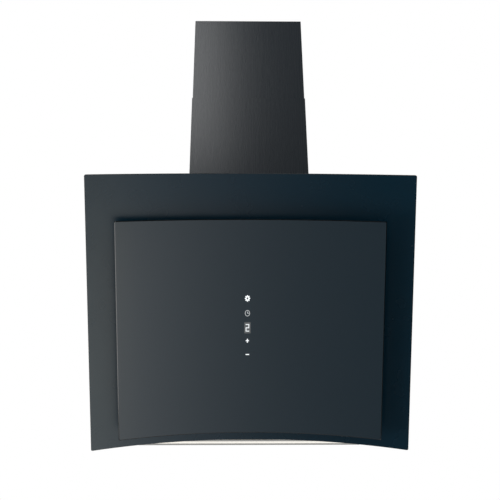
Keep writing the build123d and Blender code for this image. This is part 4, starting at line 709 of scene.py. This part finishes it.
def worked_steel(slot, name, dark, light, gloss, metal):
    """Steel with short tool marks and a stained plating."""
    tree, spot = start_finish(slot, name)
    marks = add_node(tree, "ShaderNodeTexNoise", {"Vector": spot, "Scale": 1 / TOOL_MARK, "Detail": 2.0})
    stain = add_node(tree, "ShaderNodeTexNoise", {"Vector": spot, "Scale": 1 / STAIN_SIZE, "Detail": 3.0})
    tone = add_node(tree, "ShaderNodeMix", {
        "Factor": stain.outputs["Fac"], "A": linear(dark), "B": linear(light),
    }, data_type="RGBA")
    rough = add_node(tree, "ShaderNodeMapRange", {
        "Value": marks.outputs["Fac"], **NOISE_SPAN, "To Min": gloss, "To Max": gloss + TOOL_HAZE,
    })
    shader = add_node(tree, "ShaderNodeBsdfPrincipled", {
        "Base Color": tone.outputs["Result"], "Roughness": rough.outputs[0], "Metallic": metal,
    })
    add_node(tree, "ShaderNodeOutputMaterial", {"Surface": shader.outputs[0]})


worked_steel("screw_steel", "steel_turned_zinc_plated", "#a7aaae", "#c6c4ba", gloss=0.24, metal=1.0)
worked_steel("black_screw", "steel_turned_blackened", "#17181a", "#26272a", gloss=0.34, metal=0.0)
worked_steel("motor_steel", "steel_drawn_lacquered", "#77797c", "#8b8d90", gloss=0.34, metal=1.0)
print("finishes:", len(FINISH))

# %% [markdown]
# ## The display's window
# A smoked acrylic pane with a dim backlight that falls off towards its rim. The eye sees a dark grey
# tablet, a little brighter in the middle, with a soft mottle from the light guide behind it. The fall
# runs from six tenths of the way to the rim out to the rim itself.

# %% Window
WINDOW_HALF_WIDE = 6.0 * MM
WINDOW_HALF_TALL = 10.8 * MM
GLOW_FALL = (0.6, 1.0)
GLOW_LEVELS = (0.125, 0.085)
MOTTLE_SIZE = 2.5 * MM
low, high = [np.array(corner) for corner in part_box("display_window")]
window_middle = (low + high) / 2

tree, spot = start_finish("smoked_window", "acrylic_smoked_backlit")
centred = add_node(tree, "ShaderNodeVectorMath", {0: spot, 1: window_middle}, operation="SUBTRACT")
turned = add_node(tree, "ShaderNodeMapping", {"Vector": centred.outputs[0], "Rotation": (-SLOPE, 0, 0)})
size = add_node(tree, "ShaderNodeVectorMath", {0: turned.outputs[0]}, operation="ABSOLUTE")
parts = add_node(tree, "ShaderNodeSeparateXYZ", {0: size.outputs[0]})
wide = add_node(tree, "ShaderNodeMath", {0: parts.outputs["X"], 1: WINDOW_HALF_WIDE}, operation="DIVIDE")
tall = add_node(tree, "ShaderNodeMath", {0: parts.outputs["Z"], 1: WINDOW_HALF_TALL}, operation="DIVIDE")
rim = add_node(tree, "ShaderNodeMath", {0: wide.outputs[0], 1: tall.outputs[0]}, operation="MAXIMUM")
falling = add_node(tree, "ShaderNodeMapRange", {
    "Value": rim.outputs[0], "From Min": GLOW_FALL[0], "From Max": GLOW_FALL[1],
    "To Min": GLOW_LEVELS[0], "To Max": GLOW_LEVELS[1],
}, interpolation_type="SMOOTHSTEP")
haze = add_node(tree, "ShaderNodeTexNoise", {"Vector": spot, "Scale": 1 / MOTTLE_SIZE})
mottled = add_node(tree, "ShaderNodeMapRange", {
    "Value": haze.outputs["Fac"], **NOISE_SPAN, "To Min": 0.9, "To Max": 1.1,
})
strength = add_node(tree, "ShaderNodeMath", {
    0: falling.outputs[0], 1: mottled.outputs[0],
}, operation="MULTIPLY")
shader = add_node(tree, "ShaderNodeBsdfPrincipled", {
    "Base Color": linear("#2b3134"), "Roughness": 0.2, "IOR": 1.49,
    "Emission Color": linear("#eef4f6"), "Emission Strength": strength.outputs[0],
})
add_node(tree, "ShaderNodeOutputMaterial", {"Surface": shader.outputs[0]})
print("window:", [round(v / MM, 1) for v in high - low], "mm")

# %% [markdown]
# ## The lit marks
# The marks are thin openings in the enamel, filled with clear lacquer and lit from behind, so they glow
# nearly white. The timer's mark is much fainter than the others and the figure a little, and their places
# up the slope tell them apart: each has a lower and an upper end, measured from the foot of the glass,
# and a strength.

# %% Lit marks
GLASS_FOOT = (0.0, -0.1, -0.2)
FAINT_MARKS = {"figure": (224 * MM, 244 * MM, 0.74), "timer": (251 * MM, 271 * MM, 0.45)}
LACQUER_SIZE = 1.667 * MM

tree, spot = start_finish("lit_white", "lacquer_clear_backlit")
foot = add_node(tree, "ShaderNodeVectorMath", {0: spot, 1: GLASS_FOOT}, operation="SUBTRACT")
turned = add_node(tree, "ShaderNodeMapping", {"Vector": foot.outputs[0], "Rotation": (-SLOPE, 0, 0)})
climb = add_node(tree, "ShaderNodeSeparateXYZ", {0: turned.outputs[0]})
haze = add_node(tree, "ShaderNodeTexNoise", {"Vector": spot, "Scale": 1 / LACQUER_SIZE})
strength = add_node(tree, "ShaderNodeMapRange", {
    "Value": haze.outputs["Fac"], **NOISE_SPAN, "To Min": 0.86, "To Max": 1.0,
}).outputs[0]
for lower, upper, faint in FAINT_MARKS.values():
    above = add_node(tree, "ShaderNodeMath", {0: climb.outputs["Z"], 1: lower}, operation="GREATER_THAN")
    below = add_node(tree, "ShaderNodeMath", {0: climb.outputs["Z"], 1: upper}, operation="LESS_THAN")
    within = add_node(tree, "ShaderNodeMath", {
        0: above.outputs[0], 1: below.outputs[0],
    }, operation="MULTIPLY")
    strength = add_node(tree, "ShaderNodeMix", {
        "Factor": within.outputs[0], "A": strength, "B": faint,
    }).outputs[0]
shader = add_node(tree, "ShaderNodeBsdfPrincipled", {
    "Base Color": linear("#9aa0a3"), "Roughness": 0.2, "IOR": 1.5,
    "Emission Color": linear("#f6fafc"), "Emission Strength": strength,
})
add_node(tree, "ShaderNodeOutputMaterial", {"Surface": shader.outputs[0]})
print("finishes:", len(FINISH))

# %% [markdown]
# ## Giving the finishes out
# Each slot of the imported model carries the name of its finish, so handing them out is one loop.

# %% Assign
for piece in nodes.values():
    for slot in piece.material_slots:
        slot.material = FINISH[slot.material.name.split(".")[0]]
print("dressed:", len(nodes))


# %% [markdown]
# ## Building surfaces from arrays
# New pieces are worked out as arrays of points. Places on the hood are easiest in its own slanted frame:
# across, up the slope, and out towards the room, all in millimetres. One function turns those to metres
# in the model's frame, another puts points and faces into a mesh.

# %% Array helpers
SIDES = (("left", -1), ("right", 1))
FOLD_ANGLE = math.radians(35)


def on_slope(across, climb, lift):
    """Points from across, up the slope and out of it: the glass's foot, plus each amount along its axis."""
    across, climb, lift = np.broadcast_arrays(across, climb, lift)
    s, c = math.sin(SLOPE), math.cos(SLOPE)
    along = np.stack([across, -s * climb - c * lift, c * climb - s * lift], axis=-1)
    return np.array(GLASS_FOOT) + MM * along


def new_piece(name, points, faces, slot, body):
    """A mesh of the given points and faces, smooth but for real folds, riding on a body."""
    mesh = bpy.data.meshes.new(name)
    mesh.from_pydata(points.reshape(-1, 3).tolist(), [], faces.reshape(-1, faces.shape[-1]).tolist())
    mesh.polygons.foreach_set("use_smooth", np.ones(len(mesh.polygons), dtype=bool))
    mesh.set_sharp_from_angle(angle=FOLD_ANGLE)
    mesh.materials.append(FINISH[slot])
    piece = bpy.data.objects.new(name, mesh)
    bpy.context.scene.collection.objects.link(piece)
    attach(piece, body)
    return piece


print("foot of the glass:", on_slope(0, 0, 0).round(3))

# %% [markdown]
# ## The filters' stretched sheets
# A grease filter is a pack of aluminium mesh, slit and stretched into diamonds about 9 by 5 mm, with a
# crinkled layer in the middle. One diamond is a ring of four strands: an outer rhomb that it shares with
# its neighbours and an inner rhomb round its hole. The strands rise to a crest between the two. The whole
# sheet is that one ring, added to an array of centres, so it stays light and is built in one go.

# %% Stretched sheet
MESH_WIDE = 155.0
MESH_TALL = 279.0
DIAMOND_WIDE = 8.6
DIAMOND_TALL = 4.65
HOLE_SHARE = 0.70
STRAND_THICK = 0.5
CREST = 0.3


def diamonds(lift):
    """Expanded sheet at a lift: per diamond, an outer rhomb raised to a crest and a hole's rhomb, doubled
    into a front and a rear, joined through the hole. Gives places across and up, heights, and faces."""
    columns = int(MESH_WIDE / DIAMOND_WIDE)
    rows = int(MESH_TALL / DIAMOND_TALL)
    x, z = np.meshgrid(np.arange(columns), np.arange(rows), indexing="ij")
    even = np.stack([x + 0.5, z + 0.5], -1).reshape(-1, 2)
    inner = np.stack([x + 1.0, z + 1.0], -1)[:-1, :-1].reshape(-1, 2)
    centres = (np.vstack([even, inner]) - (columns / 2, rows / 2)) * (DIAMOND_WIDE, DIAMOND_TALL)
    rhomb = 0.5 * np.array([(DIAMOND_WIDE, 0), (0, DIAMOND_TALL), (-DIAMOND_WIDE, 0), (0, -DIAMOND_TALL)])
    flat = np.concatenate([rhomb, HOLE_SHARE * rhomb, HOLE_SHARE * rhomb, rhomb])
    rear = lift - STRAND_THICK
    heights = np.repeat([lift + CREST, lift, rear, rear + CREST], 4)
    spread = centres[:, None, :] + flat
    ring = np.arange(4)
    ahead = (ring + 1) % 4
    loops = [np.stack([a + ring, a + ahead, b + ahead, b + ring], -1) for a, b in ((0, 4), (4, 8), (8, 12))]
    faces = np.concatenate(loops)[None] + len(flat) * np.arange(len(centres))[:, None, None]
    return spread, np.broadcast_to(heights, spread.shape[:2]), faces


print("diamonds across and up:", int(MESH_WIDE / DIAMOND_WIDE), int(MESH_TALL / DIAMOND_TALL))

# %% [markdown]
# ## The crinkled layer
# Between the stretched sheets lies a crushed, knitted layer. From the front it is a floor of small bumps,
# so a grid whose lift swings with two crossed waves stands for it. Each wave's phase wanders slowly along
# the other's direction, which keeps the bumps from lining up.

# %% Crinkled layer
GRID_ACROSS = 90
GRID_UP = 160
WAVE_ACROSS = 1.9
WAVE_UP = 1.4
WANDER_ACROSS = (0.7, 0.31)
WANDER_UP = (0.9, 0.23)
CRINKLE_SWING = 0.9


def crinkled(lift):
    """Grid whose height is a lift plus the swing times sin(across wave) times sin(up wave), each wave's
    phase shifted by a slow sine of the other coordinate; waves in radians per millimetre."""
    u = np.linspace(-MESH_WIDE / 2, MESH_WIDE / 2, GRID_ACROSS)
    v = np.linspace(-MESH_TALL / 2, MESH_TALL / 2, GRID_UP)
    u, v = np.meshgrid(u, v, indexing="ij")
    wave_u = np.sin(WAVE_ACROSS * u + WANDER_ACROSS[0] * np.sin(WANDER_ACROSS[1] * v))
    wave_v = np.sin(WAVE_UP * v + WANDER_UP[0] * np.sin(WANDER_UP[1] * u))
    height = lift + CRINKLE_SWING * wave_u * wave_v
    step = np.arange(GRID_ACROSS - 1)[:, None] * GRID_UP + np.arange(GRID_UP - 1)
    faces = np.stack([step, step + GRID_UP, step + GRID_UP + 1, step + 1], -1).reshape(-1, 4)
    return u.ravel(), v.ravel(), height.ravel(), faces


print("bumps about", round(math.pi / WAVE_ACROSS, 1), "mm wide")

# %% [markdown]
# ## Two packs
# Each filter gets two stretched sheets with the crinkled layer between them, as one mesh. Heights are
# measured from the filters' floor, the plane in which they rest in their tray. The pack takes the place
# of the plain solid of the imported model.

# %% Mesh packs
FILTER_SHIFT = 92.75
FILTER_MIDDLE = 235.0
FILTER_FLOOR = -32.0
SHEET_LIFTS = (7.6, 2.6)
LAYER_LIFT = 5.0


def mesh_pack(centre_across):
    """Points and faces of a pack: the two sheets and then the layer, each one's faces counted on."""
    points, faces, count = [], [], 0
    for sheet_lift in SHEET_LIFTS:
        spread, heights, ring_faces = diamonds(FILTER_FLOOR + sheet_lift)
        sheet = on_slope(centre_across + spread[..., 0], FILTER_MIDDLE + spread[..., 1], heights)
        points.append(sheet.reshape(-1, 3))
        faces.append(ring_faces.reshape(-1, 4) + count)
        count += len(points[-1])
    u, v, height, grid_faces = crinkled(FILTER_FLOOR + LAYER_LIFT)
    points.append(on_slope(centre_across + u, FILTER_MIDDLE + v, height))
    faces.append(grid_faces + count)
    return np.concatenate(points), np.concatenate(faces)


for side, sign in SIDES:
    points, faces = mesh_pack(sign * FILTER_SHIFT)
    pack = new_piece(f"mesh_pack_{side}", points, faces, "filter_mesh", "hood")
    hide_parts(f"filter_mesh_{side}")
print("faces in a pack:", len(pack.data.polygons))

# %% [markdown]
# ## The filters' frames
# The pack is held in a frame rolled from thin sheet: a channel, open inwards, with a hem along each lip
# and mitred corners. Its section is carried round a rectangle, and a point of the section that lies so far
# inwards simply moves every corner in by that much, which is what a mitre is. The section is a list of
# insets and heights in millimetres, round the outside of the channel and back along its inside.

# %% Folded frames
FRAME_WIDE = 183.0
FRAME_TALL = 307.0
CHANNEL = np.array([
    (17.0, 0.05), (1.3, 0.0), (0.4, 0.35), (0.0, 1.3), (0.0, 8.7), (0.4, 9.65), (1.3, 10.0), (3.6, 10.0),
    (4.2, 9.7), (5.6, 9.7), (6.2, 10.0), (16.0, 10.0), (16.8, 9.7), (16.8, 9.1), (16.0, 8.9), (2.0, 8.9),
    (1.1, 8.0), (1.1, 2.0), (2.0, 1.1), (17.0, 1.0),
])


def mitred_channel(centre_across):
    """Each point of the section, carried round four corners; a corner stands in by the point's inset."""
    signs = np.array([(1, 1), (-1, 1), (-1, -1), (1, -1)])
    half = np.array([FRAME_WIDE / 2, FRAME_TALL / 2])
    corner = signs[:, None, :] * (half - CHANNEL[None, :, :1])
    heights = FILTER_FLOOR + CHANNEL[:, 1]
    points = on_slope(centre_across + corner[..., 0], FILTER_MIDDLE + corner[..., 1], heights)
    count = len(CHANNEL)
    at, turn = np.meshgrid(np.arange(count), np.arange(4), indexing="xy")
    ahead = (turn + 1) % 4
    beside = (at + 1) % count
    faces = np.stack([
        turn * count + at, ahead * count + at, ahead * count + beside, turn * count + beside,
    ], -1)
    return points, faces[..., ::-1].reshape(-1, 4)


for side, sign in SIDES:
    points, faces = mitred_channel(sign * FILTER_SHIFT)
    folded = new_piece(f"folded_frame_{side}", points, faces, "aluminium", "hood")
    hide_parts(f"filter_frame_{side}")
print("points in a frame:", points.reshape(-1, 3).shape[0])
